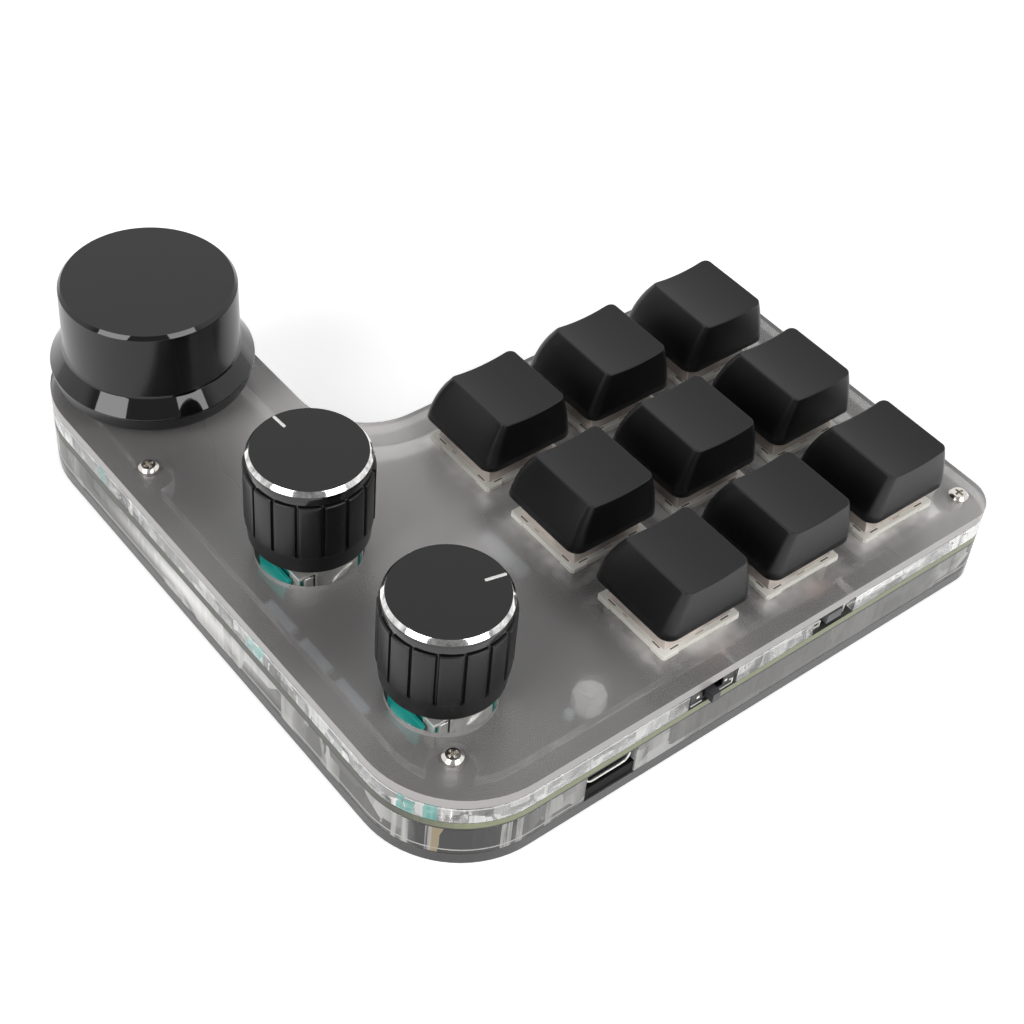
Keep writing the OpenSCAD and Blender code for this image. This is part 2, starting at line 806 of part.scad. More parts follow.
module shaft(number) {
    spigot_z = rotor_z - rotor_play;
    length = top_z + shaft_top - shaft_foot_z;
    flat_from = top_z + bushing_top + clear_gap - shaft_foot_z;
    color("silver") {
        on_case(spigot_z) at(KNOBS[number])
            spigot(spigot_r, spigot_flats, shaft_foot_z - spigot_z + join);
        on_case(shaft_foot_z) at(KNOBS[number])
            flatted(shaft_d / 2, length, flat_from, shaft_flat);
    }
}

// The hollow inside a knob, from the plate's top at z = 0
module knob_hollow(bottom, recess_r) {
    translate([0, 0, bottom - cut]) cylinder(r = recess_r, h = knob_recess_top - bottom + cut);
    translate([0, 0, knob_recess_top - cut])
        flatted(shaft_d / 2 + run_gap, bore_top - knob_recess_top + cut, 0, shaft_flat);
}

knob_cap_inset = 0.5;
knob_bevel = 0.6;

module small_knob(place) {
    ring_top = knob_top - knob_cap_h;
    foot_r = knob_r - 0.6;
    shoulder_r = knob_r - 0.35;
    shoulder_z = knob_gap + knob_band_h;
    color("dimgray") on_case(top_z) at(place) difference() {
        union() {
            translate([0, 0, knob_gap]) cylinder(r1 = foot_r, r2 = shoulder_r, h = knob_band_h);
            translate([0, 0, shoulder_z]) cylinder(r = knob_r, h = ring_top - shoulder_z);
        }
        for (step = [0:groove_count - 1]) rotate(step * 360 / groove_count)
            translate([knob_r - groove_depth, -groove_w / 2, shoulder_z - hair])
                cube([groove_depth + cut, groove_w, knob_top]);
        knob_hollow(knob_gap, knob_recess_r);
    }
}

module small_knob_cap(place) {
    cap_r = knob_r - knob_cap_inset;
    bevel_h = 1.1;
    straight = knob_cap_h - bevel_h;
    color("black") on_case(top_z + knob_top - knob_cap_h) at(place) {
        cylinder(r = cap_r, h = straight);
        translate([0, 0, straight]) cylinder(r1 = cap_r, r2 = cap_r - knob_bevel, h = bevel_h);
    }
}

module front_knob() {
    small_knob(FRONT_KNOB);
}

module middle_knob() {
    small_knob(MIDDLE_KNOB);
}

module front_knob_cap() {
    small_knob_cap(FRONT_KNOB);
}

module middle_knob_cap() {
    small_knob_cap(MIDDLE_KNOB);
}

module big_knob() {
    skirt_h = 2.95;
    skirt_lean = 0.75;
    cone_h = 2.95;
    edge_z = big_gap + skirt_h;
    body_z = edge_z + cone_h;
    color("gray") on_case(top_z) at(BIG_KNOB) difference() {
        rotate_extrude() polygon([
            [0, big_gap], [big_skirt_r - skirt_lean, big_gap], [big_skirt_r, edge_z],
            [big_body_r, body_z], [big_body_r, big_top - knob_bevel],
            [big_body_r - knob_bevel, big_top], [0, big_top]
        ]);
        knob_hollow(big_gap, big_body_r - 3);
    }
}

module controller_chip() {
    color("black") on_case(board_z) at([usb_x, first_key[1] + key_pitch])
        block([chip_w, chip_w, chip_t], -chip_t);
}

module white_socket() {
    height = upper_t - 2 * clear_gap;
    color("white") on_case(upper_z) at(SOCKET) difference() {
        cylinder(d = socket_w, h = height, $fn = 8);
        translate([0, 0, height / 3]) cylinder(r = socket_w * 0.22, h = height);
    }
}

module board_parts() {
    bar_x = wall_w + clear_gap + bar_w / 2;
    color("lightsteelblue") on_case(upper_z) {
        for (step = [0:2])
            at([bar_x, front_knob_y + bar_start + step * bar_step]) block([bar_w, bar_len, bar_h]);
        at([knob_strip_w - 1.6 * bar_w, first_key[1] + 1.2 * key_pitch])
            block([bar_w, strip_len, bar_h]);
        at(SOCKET - [0.7 * socket_w, 0]) cylinder(d = bar_w * 2 / 3, h = bar_h);
    }
}

top_plate();
upper_frame();
circuit_board();
lower_frame();
bottom_plate();
top_screws();
standoffs();
bottom_screws();
feet();
usb_shell();
usb_tongue();
slide_switch_case();
slide_switch_lever();
side_button_case();
side_button_plunger();
switch_bottoms();
switch_tops();
stem(0);  // stem_1
stem(1);  // stem_2
stem(2);  // stem_3
stem(3);  // stem_4
stem(4);  // stem_5
stem(5);  // stem_6
stem(6);  // stem_7
stem(7);  // stem_8
stem(8);  // stem_9
keycap(0);  // keycap_1
keycap(1);  // keycap_2
keycap(2);  // keycap_3
keycap(3);  // keycap_4
keycap(4);  // keycap_5
keycap(5);  // keycap_6
keycap(6);  // keycap_7
keycap(7);  // keycap_8
keycap(8);  // keycap_9
spring(0);  // spring_1
spring(1);  // spring_2
spring(2);  // spring_3
spring(3);  // spring_4
spring(4);  // spring_5
spring(5);  // spring_6
spring(6);  // spring_7
spring(7);  // spring_8
spring(8);  // spring_9
encoder_bases();
encoder_cases();
rotor(0);  // rotor_1
rotor(1);  // rotor_2
rotor(2);  // rotor_3
shaft(0);  // shaft_1
shaft(1);  // shaft_2
shaft(2);  // shaft_3
front_knob();
middle_knob();
big_knob();
front_knob_cap();
middle_knob_cap();
controller_chip();
white_socket();
board_parts();
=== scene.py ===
"""Dresses the macro keypad with knobs: layered acrylic case, keys, knobs and edge switches.

Lengths are metres in the model's own frame: the ported edge faces -Y, the knobs stand along
the -X side and +Z is up. Sizes are written in millimetres times MM.
"""
import json
import logging
import math
from dataclasses import dataclass
from enum import Enum
from functools import partial

import bmesh
import bpy
import numpy as np
from mathutils import Matrix, Vector


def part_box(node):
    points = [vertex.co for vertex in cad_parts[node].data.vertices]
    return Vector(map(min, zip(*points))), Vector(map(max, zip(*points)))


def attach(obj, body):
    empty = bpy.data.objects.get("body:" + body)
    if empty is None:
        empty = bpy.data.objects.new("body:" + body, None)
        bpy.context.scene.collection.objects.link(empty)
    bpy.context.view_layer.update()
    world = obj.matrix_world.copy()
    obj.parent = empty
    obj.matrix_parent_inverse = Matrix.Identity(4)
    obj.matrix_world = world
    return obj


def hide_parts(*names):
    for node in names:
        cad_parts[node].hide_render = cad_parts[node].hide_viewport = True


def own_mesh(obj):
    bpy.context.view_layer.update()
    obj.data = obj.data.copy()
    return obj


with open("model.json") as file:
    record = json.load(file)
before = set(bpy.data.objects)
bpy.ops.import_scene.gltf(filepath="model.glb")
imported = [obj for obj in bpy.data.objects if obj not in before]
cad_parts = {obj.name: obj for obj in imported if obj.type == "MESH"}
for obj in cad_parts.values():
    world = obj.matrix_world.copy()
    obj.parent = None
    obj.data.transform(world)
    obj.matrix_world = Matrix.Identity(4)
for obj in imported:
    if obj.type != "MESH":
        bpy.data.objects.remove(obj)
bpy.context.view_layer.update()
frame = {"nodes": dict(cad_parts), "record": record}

MM = 0.001
LOG = logging.getLogger("keypad")

Vec = tuple[float, float, float]
Pair = tuple[float, float]
Box = tuple[np.ndarray, np.ndarray]
Socket = bpy.types.NodeSocket
Mark = tuple[Socket, Vec, float, float]
Material = bpy.types.Material
Piece = bpy.types.Object

CASE_WIDTH = 118.2 * MM
CASE_DEPTH = 122.3 * MM
LEVER_PROUD = 1.5 * MM
LEFT_X = -CASE_WIDTH / 2
FRONT_Y = -(CASE_DEPTH - LEVER_PROUD) / 2
LOWER_Z = 3.4 * MM
BOARD_Z = 9.4 * MM
UPPER_Z = 11.0 * MM
TOP_Z = 16.5 * MM
CASE_CORNER = np.array([LEFT_X, FRONT_Y, 0.0])

ACRYLIC_IOR = 1.49
COAT_IOR = 1.5
LEVEL_FROM = 0.6
MERGE_DISTANCE = 2e-6
FLAT_ANGLE = math.radians(0.5)
ROUNDED_ANGLE = math.radians(28.0)


def foot_of(node: str) -> np.ndarray:
    """Gives the point of the plate's top that lies under the middle of a CAD node."""
    low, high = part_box(node)
    return np.array([(low[0] + high[0]) / 2, (low[1] + high[1]) / 2, TOP_Z])


def box_from(foot: np.ndarray, x: Pair, y: Pair, z: Pair) -> Box:
    """Gives the low and high corner of a box whose ends are in millimetres from foot."""
    low, high = (np.array([x[end], y[end], z[end]]) * MM + foot for end in (0, 1))
    return low, high


# ---------------------------------------------------------------------------------------------
# Meshes
# ---------------------------------------------------------------------------------------------


def place_in_scene(name: str, data: bpy.types.ID) -> Piece:
    """Makes an object of a mesh, lamp or camera and puts it in the scene.

    Args:
        name: Name of the object.
        data: What it shows.

    Returns:
        The object, at the origin.
    """
    piece = bpy.data.objects.new(name, data)
    bpy.context.scene.collection.objects.link(piece)
    return piece


def mesh_piece(name: str, verts: np.ndarray, faces: list[list[int]]) -> Piece:
    """Makes a piece of a closed mesh whose faces all point outwards.

    Args:
        name: Name of the piece.
        verts: (n, 3) points.
        faces: Points of each face.

    Returns:
        The piece.
    """
    mesh = bpy.data.meshes.new(name)
    mesh.from_pydata(verts.tolist(), [], faces)
    mesh.validate()
    piece = place_in_scene(name, mesh)
    point_outwards(mesh)
    return piece


class Ends(Enum):
    """How the first and last row of a grid are closed."""

    POLES = "poles"
    RING = "ring"


def smooth_step(x: np.ndarray, low: float, high: float) -> np.ndarray:
    """Rises from 0 at low to 1 at high as 3t^2 - 2t^3.

    Args:
        x: Where the step is wanted.
        low: Value at which the step starts.
        high: Value at which the step ends.

    Returns:
        The step's height at each x.
    """
    t = np.clip((np.asarray(x, float) - low) / (high - low), 0.0, 1.0)
    return t * t * (3.0 - 2.0 * t)


def rounded_profile(corners: list[Vec], steps: int = 5) -> np.ndarray:
    """Turns a polyline into one with round corners.

    At each corner the arc touches both edges. Its points are the two touch points joined by the
    quadratic Bezier curve through the corner, which for small radii lies within a hair of a circle.

    Args:
        corners: (radius from the axis, height, corner radius) of each corner, in order.
        steps: Pieces in each rounded corner.

    Returns:
        An (n, 2) array of radius and height.
    """
    points = np.array([corner[:2] for corner in corners], float)
    radii = np.array([corner[2] for corner in corners], float)
    rows = [points[:1]]
    t = np.linspace(0.0, 1.0, steps + 1)[:, None]
    for before, here, after, radius in zip(points[:-2], points[1:-1], points[2:], radii[1:-1]):
        if radius <= 0.0:
            rows.append(here[None])
            continue
        back, ahead = before - here, after - here
        back_len, ahead_len = np.linalg.norm(back), np.linalg.norm(ahead)
        reach = min(radius, 0.45 * back_len, 0.45 * ahead_len)
        start, end = here + back / back_len * reach, here + ahead / ahead_len * reach
        rows.append((1 - t) ** 2 * start + 2 * t * (1 - t) * here + t**2 * end)
    rows.append(points[-1:])
    return np.vstack(rows)


def lathe(profile: np.ndarray, centre: np.ndarray, turns: np.ndarray) -> np.ndarray:
    """Carries a profile round the upright axis through centre.

    A point is (cx + r cos a, cy + r sin a, cz + z) for each row (r, z) and each angle a.

    Args:
        profile: (n, 2) radius and height.
        centre: Foot of the axis.
        turns: (m,) angles in radians, without the closing one.

    Returns:
        An (n, m, 3) grid.
    """
    r, z = profile[:, 0, None], profile[:, 1, None]
    return np.stack([
        centre[0] + r * np.cos(turns)[None],
        centre[1] + r * np.sin(turns)[None],
        centre[2] + z + 0.0 * turns[None],
    ], axis=-1)


def round_turns(count: int) -> np.ndarray:
    """Gives count angles spread evenly over one turn."""
    return np.linspace(0.0, 2.0 * math.pi, count, endpoint=False)


def rounded_rectangle(half_x: np.ndarray, half_y: np.ndarray, radius: np.ndarray,
                      arc: int = 7, straight: int = 6) -> np.ndarray:
    """Gives sections of a bar with round corners, one row per size, all with matching points.

    A corner point is the corner's centre plus radius times a unit direction. Points on the
    straight edges lie evenly between the ends of neighbouring corner arcs.

    Args:
        half_x: (n,) half widths.
        half_y: (n,) half depths.
        radius: (n,) corner radii.
        arc: Pieces in each corner arc.
        straight: Pieces in each straight edge.

    Returns:
        (n, m, 2) points, counterclockwise from the middle of the first corner's start.
    """
    rows = []
    half_x, half_y, radius = (np.asarray(value, float)[:, None] for value in (half_x, half_y, radius))
    corner_signs = [(1, 1), (-1, 1), (-1, -1), (1, -1)]
    for number, (sign_x, sign_y) in enumerate(corner_signs):
        angles = (number + np.linspace(0.0, 1.0, arc + 1)) * math.pi / 2
        x = sign_x * (half_x - radius) + radius * np.cos(angles)[None]
        y = sign_y * (half_y - radius) + radius * np.sin(angles)[None]
        rows.append(np.stack([x, y], axis=-1))
        next_x, next_y = corner_signs[(number + 1) % 4]
        turned = (number + 1) * math.pi / 2
        end = np.stack([next_x * (half_x - radius) + radius * math.cos(turned),
                        next_y * (half_y - radius) + radius * math.sin(turned)], axis=-1)
        share = (np.arange(1, straight) / straight)[None, :, None]
        rows.append(rows[-1][:, -1:] * (1 - share) + end * share)
    return np.concatenate(rows, axis=1)


def grid_piece(name: str, points: np.ndarray, ends: Ends = Ends.POLES) -> Piece:
    """Makes a closed, smooth surface from a grid whose columns go round.

    Rows run from the first end to the last. With poles each end row shrinks to one point that a
    fan of triangles joins to its neighbour row. With a ring the last row joins the first.

    Args:
        name: Name of the piece.
        points: (rows, columns, 3) grid.
        ends: How the ends are closed.

    Returns:
        The new object, at the origin.
    """
    columns = points.shape[1]
    poles = ends is Ends.POLES
    body = points[1:-1] if poles else points
    verts = body.reshape(-1, 3)
    if poles:
        verts = np.vstack([points[:1].mean(axis=1), verts, points[-1:].mean(axis=1)])
    offset = int(poles)
    count = len(body)
    row = np.arange(count - 1 if poles else count)[:, None]
    column = np.arange(columns)
    beside = (column + 1) % columns
    above = (row + 1) % count
    quads = np.stack([row * columns + column, row * columns + beside,
                      above * columns + beside, above * columns + column], axis=-1) + offset
    faces = quads.reshape(-1, 4).tolist()
    if poles:
        top = offset + (count - 1) * columns
        first, last = np.full(columns, 0), np.full(columns, len(verts) - 1)
        faces += np.stack([first, offset + beside, offset + column], axis=-1).tolist()
        faces += np.stack([top + column, top + beside, last], axis=-1).tolist()
    piece = mesh_piece(name, verts, faces)
    piece.data.shade_smooth()
    return piece


def point_outwards(mesh: bpy.types.Mesh) -> None:
    """Turns every face of a closed mesh outwards.

    Args:
        mesh: Mesh to turn, whose doubles are merged first.
    """
    work = bmesh.new()
    work.from_mesh(mesh)
    bmesh.ops.remove_doubles(work, verts=work.verts, dist=1e-7)
    bmesh.ops.recalc_face_normals(work, faces=work.faces)
    work.to_mesh(mesh)
    work.free()


def join(name: str, pieces: list[Piece]) -> Piece:
    """Joins pieces into the first one and names it, keeping their material slots.

    Args:
        name: Name of the joined piece.
        pieces: Pieces to join.

    Returns:
        The joined piece.
    """
    with bpy.context.temp_override(active_object=pieces[0], selected_editable_objects=pieces):
        bpy.ops.object.join()
    pieces[0].name = name
    pieces[0].data.name = name
    return pieces[0]


def shade_by_angle(piece: Piece, degrees: float = 35.0) -> None:
    """Shades a piece smooth but keeps its sharp edges crisp.

    Args:
        piece: Piece to shade.
        degrees: Edges that bend by more than this stay crisp.
    """
    mesh = piece.data
    mesh.shade_smooth()
    mesh.set_sharp_from_angle(angle=math.radians(degrees))


def softened(node: str, width: float, *materials: Material, name: str | None = None,
             squeeze: float = 0.0) -> Piece:
    """Copies a CAD node, merges its loose triangles and rounds its sharp edges.

    Args:
        node: CAD node that the copy stands for.
        width: Width of the rounding, in two pieces across, on edges that bend past ROUNDED_ANGLE.
        *materials: What the copy is dressed in.
        name: Name of the piece, or None to add _shell to the node's.
        squeeze: Height taken off, half at the top and half at the foot.

    Returns:
        The copy, which replaces the node and rides on its body.
    """
    source = frame["nodes"][node]
    mesh = source.data.copy()
    name = name or node + "_shell"
    mesh.name = name
    piece = place_in_scene(name, mesh)
    work = bmesh.new()
    work.from_mesh(mesh)
    bmesh.ops.remove_doubles(work, verts=work.verts, dist=MERGE_DISTANCE)
    bmesh.ops.dissolve_limit(work, angle_limit=FLAT_ANGLE, verts=work.verts, edges=work.edges)
    if squeeze:
        foot, top = (corner[2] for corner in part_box(node))
        bmesh.ops.scale(work, vec=(1, 1, 1 - squeeze / (top - foot)), verts=work.verts,
                        space=Matrix.Translation((0, 0, -(top + foot) / 2)))
    work.to_mesh(mesh)
    work.free()
    if width:
        bevel = piece.modifiers.new("rounding", "BEVEL")
        bevel.width = width
        bevel.segments = 2
        bevel.limit_method = "ANGLE"
        bevel.angle_limit = ROUNDED_ANGLE
        bevel.use_clamp_overlap = True
        bevel.harden_normals = True
    shade_by_angle(piece)
    dress(piece, *materials)
    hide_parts(node)
    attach(piece, body_of_node(node))
    return piece


def small_boxes(name: str, boxes: list[Box], edge: float, material: Material) -> Piece:
    """Makes many small boxes with chamfered edges as one piece.

    Each corner of a box is split in three points. The point for an axis is the corner drawn in
    by edge along the two other axes, so that point = middle + sign (half - edge (1 - axis)).

    Args:
        name: Name of the piece.
        boxes: Low and high corner of each box.
        edge: Width that the chamfer takes off each side.
        material: What the piece is dressed in.

    Returns:
        The piece, which rides on the case.
    """
    corners = np.array(boxes, float)
    half, middle = (corners[:, 1] - corners[:, 0]) / 2, (corners[:, 1] + corners[:, 0]) / 2
    edges = np.minimum(edge, half.min(axis=1) * 0.45)[:, None, None, None]
    signs = np.array(np.meshgrid([-1, 1], [-1, 1], [-1, 1], indexing="ij")).reshape(3, -1).T
    reach = half[:, None, None] - edges * (1 - np.eye(3))
    verts = middle[:, None, None] + signs[None, :, None] * reach
    weights = (4, 2, 1)
    faces = []
    for axis, (one, other) in enumerate(((1, 2), (0, 2), (0, 1))):
        around = [0, weights[one], weights[one] + weights[other], weights[other]]
        for side in (0, weights[axis]):
            faces.append([3 * (side + corner) + axis for corner in around])
        for corner in around:
            ahead = corner + weights[axis]
            faces.append([3 * corner + one, 3 * corner + other, 3 * ahead + other, 3 * ahead + one])
    faces += [[3 * corner, 3 * corner + 1, 3 * corner + 2] for corner in range(8)]
    count = len(verts)
    every = [[vertex + 24 * number for vertex in face] for number in range(count) for face in faces]
    piece = mesh_piece(name, verts.reshape(-1, 3), every)
    piece.data.shade_flat()
    dress(piece, material)
    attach(piece, "case")
    return piece


def stadium_rim(name: str, centre: np.ndarray, half: Pair, corner: float,
                wire: float) -> Piece:
    """Makes a rim that follows a bar with round ends, upright and facing -Y.

    A point is the path's point plus wire (cos a n, sin a), where n is the path's outward
    direction and the sine runs along Y.

    Args:
        name: Name of the piece.
        centre: Middle of the rim.
        half: Half width and half height of the path.
        corner: Corner radius of the path.
        wire: Radius of the rim's section.

    Returns:
        The piece, which rides on the case.
    """
    path = rounded_rectangle(np.array([half[0]]), np.array([half[1]]), np.array([corner]))[0]
    step = np.roll(path, -1, axis=0) - np.roll(path, 1, axis=0)
    outward = np.column_stack([step[:, 1], -step[:, 0]]) / np.linalg.norm(step, axis=1)[:, None]
    turns = round_turns(10)
    reach = path[:, None] + wire * np.cos(turns)[None, :, None] * outward[:, None]
    depth = np.broadcast_to(wire * np.sin(turns)[None], reach.shape[:2])
    points = np.stack([reach[..., 0], depth, reach[..., 1]], axis=-1) + centre
    piece = grid_piece(name, points, Ends.RING)
    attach(piece, "case")
    return piece


def body_of_node(node: str) -> str:
    """Gives the name of the body that a CAD node belongs to."""
    bodies = frame["record"]["behaviour"]["bodies"]
    return next(body for body, nodes in bodies.items() if node in nodes)


def dress(piece: Piece, *materials: Material) -> None:
    """Gives a piece its materials.

    Args:
        piece: Piece to dress.
        *materials: Its materials, in order.
    """
    piece.data.materials.clear()
    for material in materials:
        piece.data.materials.append(material)


# ---------------------------------------------------------------------------------------------
# Materials
# ---------------------------------------------------------------------------------------------


def shade_of(colour: Vec, factor: float) -> Vec:
    """Gives a colour times a factor, with no channel above 1."""
    return tuple(min(1.0, channel * factor) for channel in colour)


def shades_round(colour: Vec, spread: float) -> tuple[Vec, Vec]:
    """Gives a colour darkened and brightened by a share of itself."""
    return shade_of(colour, 1 - spread), shade_of(colour, 1 + spread)


class Nodes:
    """A node tree, with short ways to add and join nodes."""

    def __init__(self, tree: bpy.types.NodeTree) -> None:
        """Keeps the tree that the nodes go into."""
        self.tree = tree

    def add(self, kind: str, **settings: object) -> bpy.types.Node:
        """Adds a node of a kind and sets its properties.

        Args:
            kind: Blender's name for the node, without the ShaderNode in front.
            **settings: Properties of the node.

        Returns:
            The node.
        """
        node = self.tree.nodes.new("ShaderNode" + kind)
        for key, value in settings.items():
            setattr(node, key, value)
        return node

    def link(self, source: Socket, target: Socket) -> None:
        """Joins two sockets."""
        self.tree.links.new(source, target)

    def feed(self, target: Socket, value: object) -> None:
        """Gives an input what it takes.

        Args:
            target: The input.
            value: Socket to follow, number or vector, or the three channels of a colour.
        """
        if isinstance(value, Socket):
            self.link(value, target)
        else:
            target.default_value = (*value, 1.0) if target.type == "RGBA" else value

    def math(self, operation: str, *values: object, clamp: bool = False) -> Socket:
        """Adds Math nodes that carry an operation through its values from left to right.

        Args:
            operation: Blender's name for the operation.
            *values: Sockets or numbers.
            clamp: Whether each result is kept from 0 to 1.

        Returns:
            The last node's value.
        """
        total, *rest = values
        for value in rest or [0.0]:
            node = self.add("Math", operation=operation, use_clamp=clamp)
            self.feed(node.inputs[0], total)
            self.feed(node.inputs[1], value)
            total = node.outputs[0]
        return total

    def vector(self, operation: str, first: Socket, second: object = (0, 0, 0)) -> bpy.types.Node:
        """Adds a Vector Math node.

        Args:
            operation: Blender's name for the operation.
            first: Socket.
            second: Socket or vector.

        Returns:
            The node.
        """
        node = self.add("VectorMath", operation=operation)
        self.feed(node.inputs[0], first)
        self.feed(node.inputs[1], second)
        return node

    def split(self, vector: Socket) -> tuple[Socket, Socket, Socket]:
        """Gives the three coordinates of a vector one by one.

        Args:
            vector: Socket to take apart.

        Returns:
            X, Y and Z.
        """
        node = self.add("SeparateXYZ")
        self.link(vector, node.inputs[0])
        return node.outputs["X"], node.outputs["Y"], node.outputs["Z"]

    def span(self, value: Socket, low: float, high: float, start: float = 0.0, end: float = 1.0,
             smooth: bool = False) -> Socket:
        """Spreads a value over low to high.

        Args:
            value: Socket to spread.
            low: Result where the value is at start.
            high: Result where the value is at end.
            start: Value that gives low.
            end: Value that gives high.
            smooth: Whether the rise is eased at both ends.

        Returns:
            The spread value, kept between low and high.
        """
        node = self.add("MapRange", interpolation_type="SMOOTHSTEP" if smooth else "LINEAR")
        self.link(value, node.inputs["Value"])
        ends = {"From Min": start, "From Max": end, "To Min": low, "To Max": high}
        for key, number in ends.items():
            node.inputs[key].default_value = number
        return node.outputs["Result"]


class Board(Nodes):
    """A material's node tree, which starts with one Principled shader."""

    def __init__(self, name: str) -> None:
        """Starts the material.

        Args:
            name: Name of the material.
        """
        self.material = bpy.data.materials.new(name)
        self.material.use_nodes = True
        super().__init__(self.material.node_tree)
        self.shader = self.tree.nodes["Principled BSDF"]
        self.output = self.tree.nodes["Material Output"]

    def set(self, **values: object) -> None:
        """Sets sockets of the shader, named with underscores for spaces."""
        for key, value in values.items():
            self.shader.inputs[key.replace("_", " ")].default_value = value

    def second_shader(self, **values: object) -> bpy.types.Node:
        """Adds a second Principled shader.

        Args:
            **values: Its sockets, named as in set.

        Returns:
            The shader.
        """
        node = self.add("BsdfPrincipled")
        for key, value in values.items():
            node.inputs[key.replace("_", " ")].default_value = value
        return node

    def follow(self, **sockets: Socket) -> None:
        """Lets sockets of the shader, named as in set, follow worked out values."""
        for key, source in sockets.items():
            self.link(source, self.shader.inputs[key.replace("_", " ")])

    def place(self, centre: Vec = (0, 0, 0), scale: Vec = (1, 1, 1)) -> Socket:
        """Gives Object coordinates moved to a centre and then scaled.

        Args:
            centre: Point that becomes the origin.
            scale: Factor along each axis.

        Returns:
            The coordinates.
        """
        moved = self.vector("SUBTRACT", self.add("TexCoord").outputs["Object"], centre)
        return self.vector("MULTIPLY", moved.outputs[0], scale).outputs[0]

    def distance(self, centre: Vec = (0, 0, 0), scale: Vec = (1, 1, 1)) -> Socket:
        """Gives the distance from a centre, with each axis scaled."""
        return self.vector("LENGTH", self.place(centre, scale)).outputs["Value"]

    def axes(self) -> tuple[Socket, Socket, Socket]:
        """Gives the three Object coordinates one by one."""
        return self.split(self.place())

    def normal(self) -> Socket:
        """Gives the direction that a face looks in."""
        return self.add("NewGeometry").outputs["True Normal"]

    def noise(self, vector: Socket, scale: float, detail: float = 2.0, roughness: float = 0.55,
              **settings: object) -> Socket:
        """Gives a noise pattern from 0 to 1.

        Args:
            vector: Where the noise is read, or one number with noise_dimensions="1D".
            scale: Features per metre.
            detail: Number of finer patterns laid over it.
            roughness: Strength of the finer patterns.
            **settings: Properties of the node.

        Returns:
            The pattern's value.
        """
        node = self.add("TexNoise", **settings)
        self.link(vector, node.inputs["W" if settings else "Vector"])
        for key, number in (("Scale", scale), ("Detail", detail), ("Roughness", roughness)):
            node.inputs[key].default_value = number
        return node.outputs["Fac"]

    def ramp(self, value: Socket, *stops: tuple[float, Vec]) -> Socket:
        """Gives a colour by value.

        Args:
            value: Socket from 0 to 1.
            *stops: (place, colour) of each stop, in order.

        Returns:
            The colour.
        """
        node = self.add("ValToRGB")
        self.link(value, node.inputs["Fac"])
        elements = node.color_ramp.elements
        while len(elements) < len(stops):
            elements.new(0.5)
        for element, (place, colour) in zip(elements, stops):
            element.position = place
            element.color = (*colour, 1.0)
        return node.outputs["Color"]

    def bump(self, height: Socket, depth: float, strength: float = 1.0) -> None:
        """Raises the surface by height times depth, for every shader made so far.

        Args:
            height: Pattern from 0 to 1.
            depth: Height of the pattern in metres.
            strength: How far the bump shows.
        """
        node = self.add("Bump")
        node.inputs["Strength"].default_value = strength
        node.inputs["Distance"].default_value = depth
        self.link(height, node.inputs["Height"])
        for shader in self.tree.nodes:
            if shader.type == "BSDF_PRINCIPLED":
                self.link(node.outputs["Normal"], shader.inputs["Normal"])

    def upright(self) -> Socket:
        """Gives 1 on faces that stand upright and 0 on level ones."""
        return self.math("LESS_THAN", self.math("ABSOLUTE", self.split(self.normal())[2]), LEVEL_FROM)

    def blend(self, share: object, first: Socket, second: Socket) -> Socket:
        """Mixes two shaders.

        Args:
            share: Socket or number: how much of the second shows.
            first: First shader's output.
            second: Second shader's output.

        Returns:
            The mixed shader's output.
        """
        node = self.add("MixShader")
        for socket, value in zip(node.inputs, (share, first, second)):
            self.feed(socket, value)
        return node.outputs[0]

    def finish_clear(self, surface: Socket, lets_in: float) -> None:
        """Sends a shader to the output and lets light of the lamps through it.

        Args:
            surface: The shader's output.
            lets_in: Share of the light that goes through.
        """
        path = self.add("LightPath")
        through = self.add("BsdfTransparent")
        share = self.math("MULTIPLY", path.outputs["Is Shadow Ray"], lets_in)
        self.link(self.blend(share, surface, through.outputs[0]), self.output.inputs["Surface"])

    def mix_colour(self, share: Socket, first: object, second: object) -> Socket:
        """Mixes two colours.

        Args:
            share: How much of the second shows.
            first: Socket or three numbers.
            second: Socket or three numbers.

        Returns:
            The mixed colour.
        """
        node = self.add("Mix", data_type="RGBA")
        for key, value in (("Factor", share), ("A", first), ("B", second)):
            self.feed(node.inputs[key], value)
        return node.outputs["Result"]

    def upright_spot(self, x: float, y: float, radius: float, height: float = 1.0,
                     flat: float = 1.0) -> Socket:
        """Gives a soft round spot that is the same at every height.

        Args:
            x: Its middle along X, in millimetres as the next two are.
            y: Its middle along Y.
            radius: Where it has faded to nothing.
            height: Its value in the middle.
            flat: Factor on the distance along Y.

        Returns:
            The spot's value, from height down to 0.
        """
        return self.spot((x * MM, y * MM, 0.0), radius * MM, height, (1.0, flat, 0.0))

    def spot(self, centre: Vec, radius: float, height: float, stretch: Vec) -> Socket:
        """Gives a soft round spot.

        Args:
            centre: Its middle.
            radius: Where it has faded to nothing.
            height: Its value in the middle.
            stretch: Factor on the distance along each axis.

        Returns:
            The spot's value, from height down to 0.
        """
        return self.span(self.distance(centre, stretch), height, 0.0, 0.0, radius, smooth=True)

    def cells(self, scale: Vec, shift: Vec = (0, 0, 0)) -> Socket:
        """Gives a random value from 0 to 1 in each cell of a field of blocks.

        Args:
            scale: Cells per metre along each axis.
            shift: Point that the field starts from.

        Returns:
            The value, the same all over a cell.
        """
        node = self.add("TexVoronoi", distance="CHEBYCHEV")
        self.link(self.place(shift, scale), node.inputs["Vector"])
        node.inputs["Scale"].default_value = 1.0
        parts = self.add("SeparateColor")
        self.link(node.outputs["Color"], parts.inputs[0])
        return parts.outputs[0]


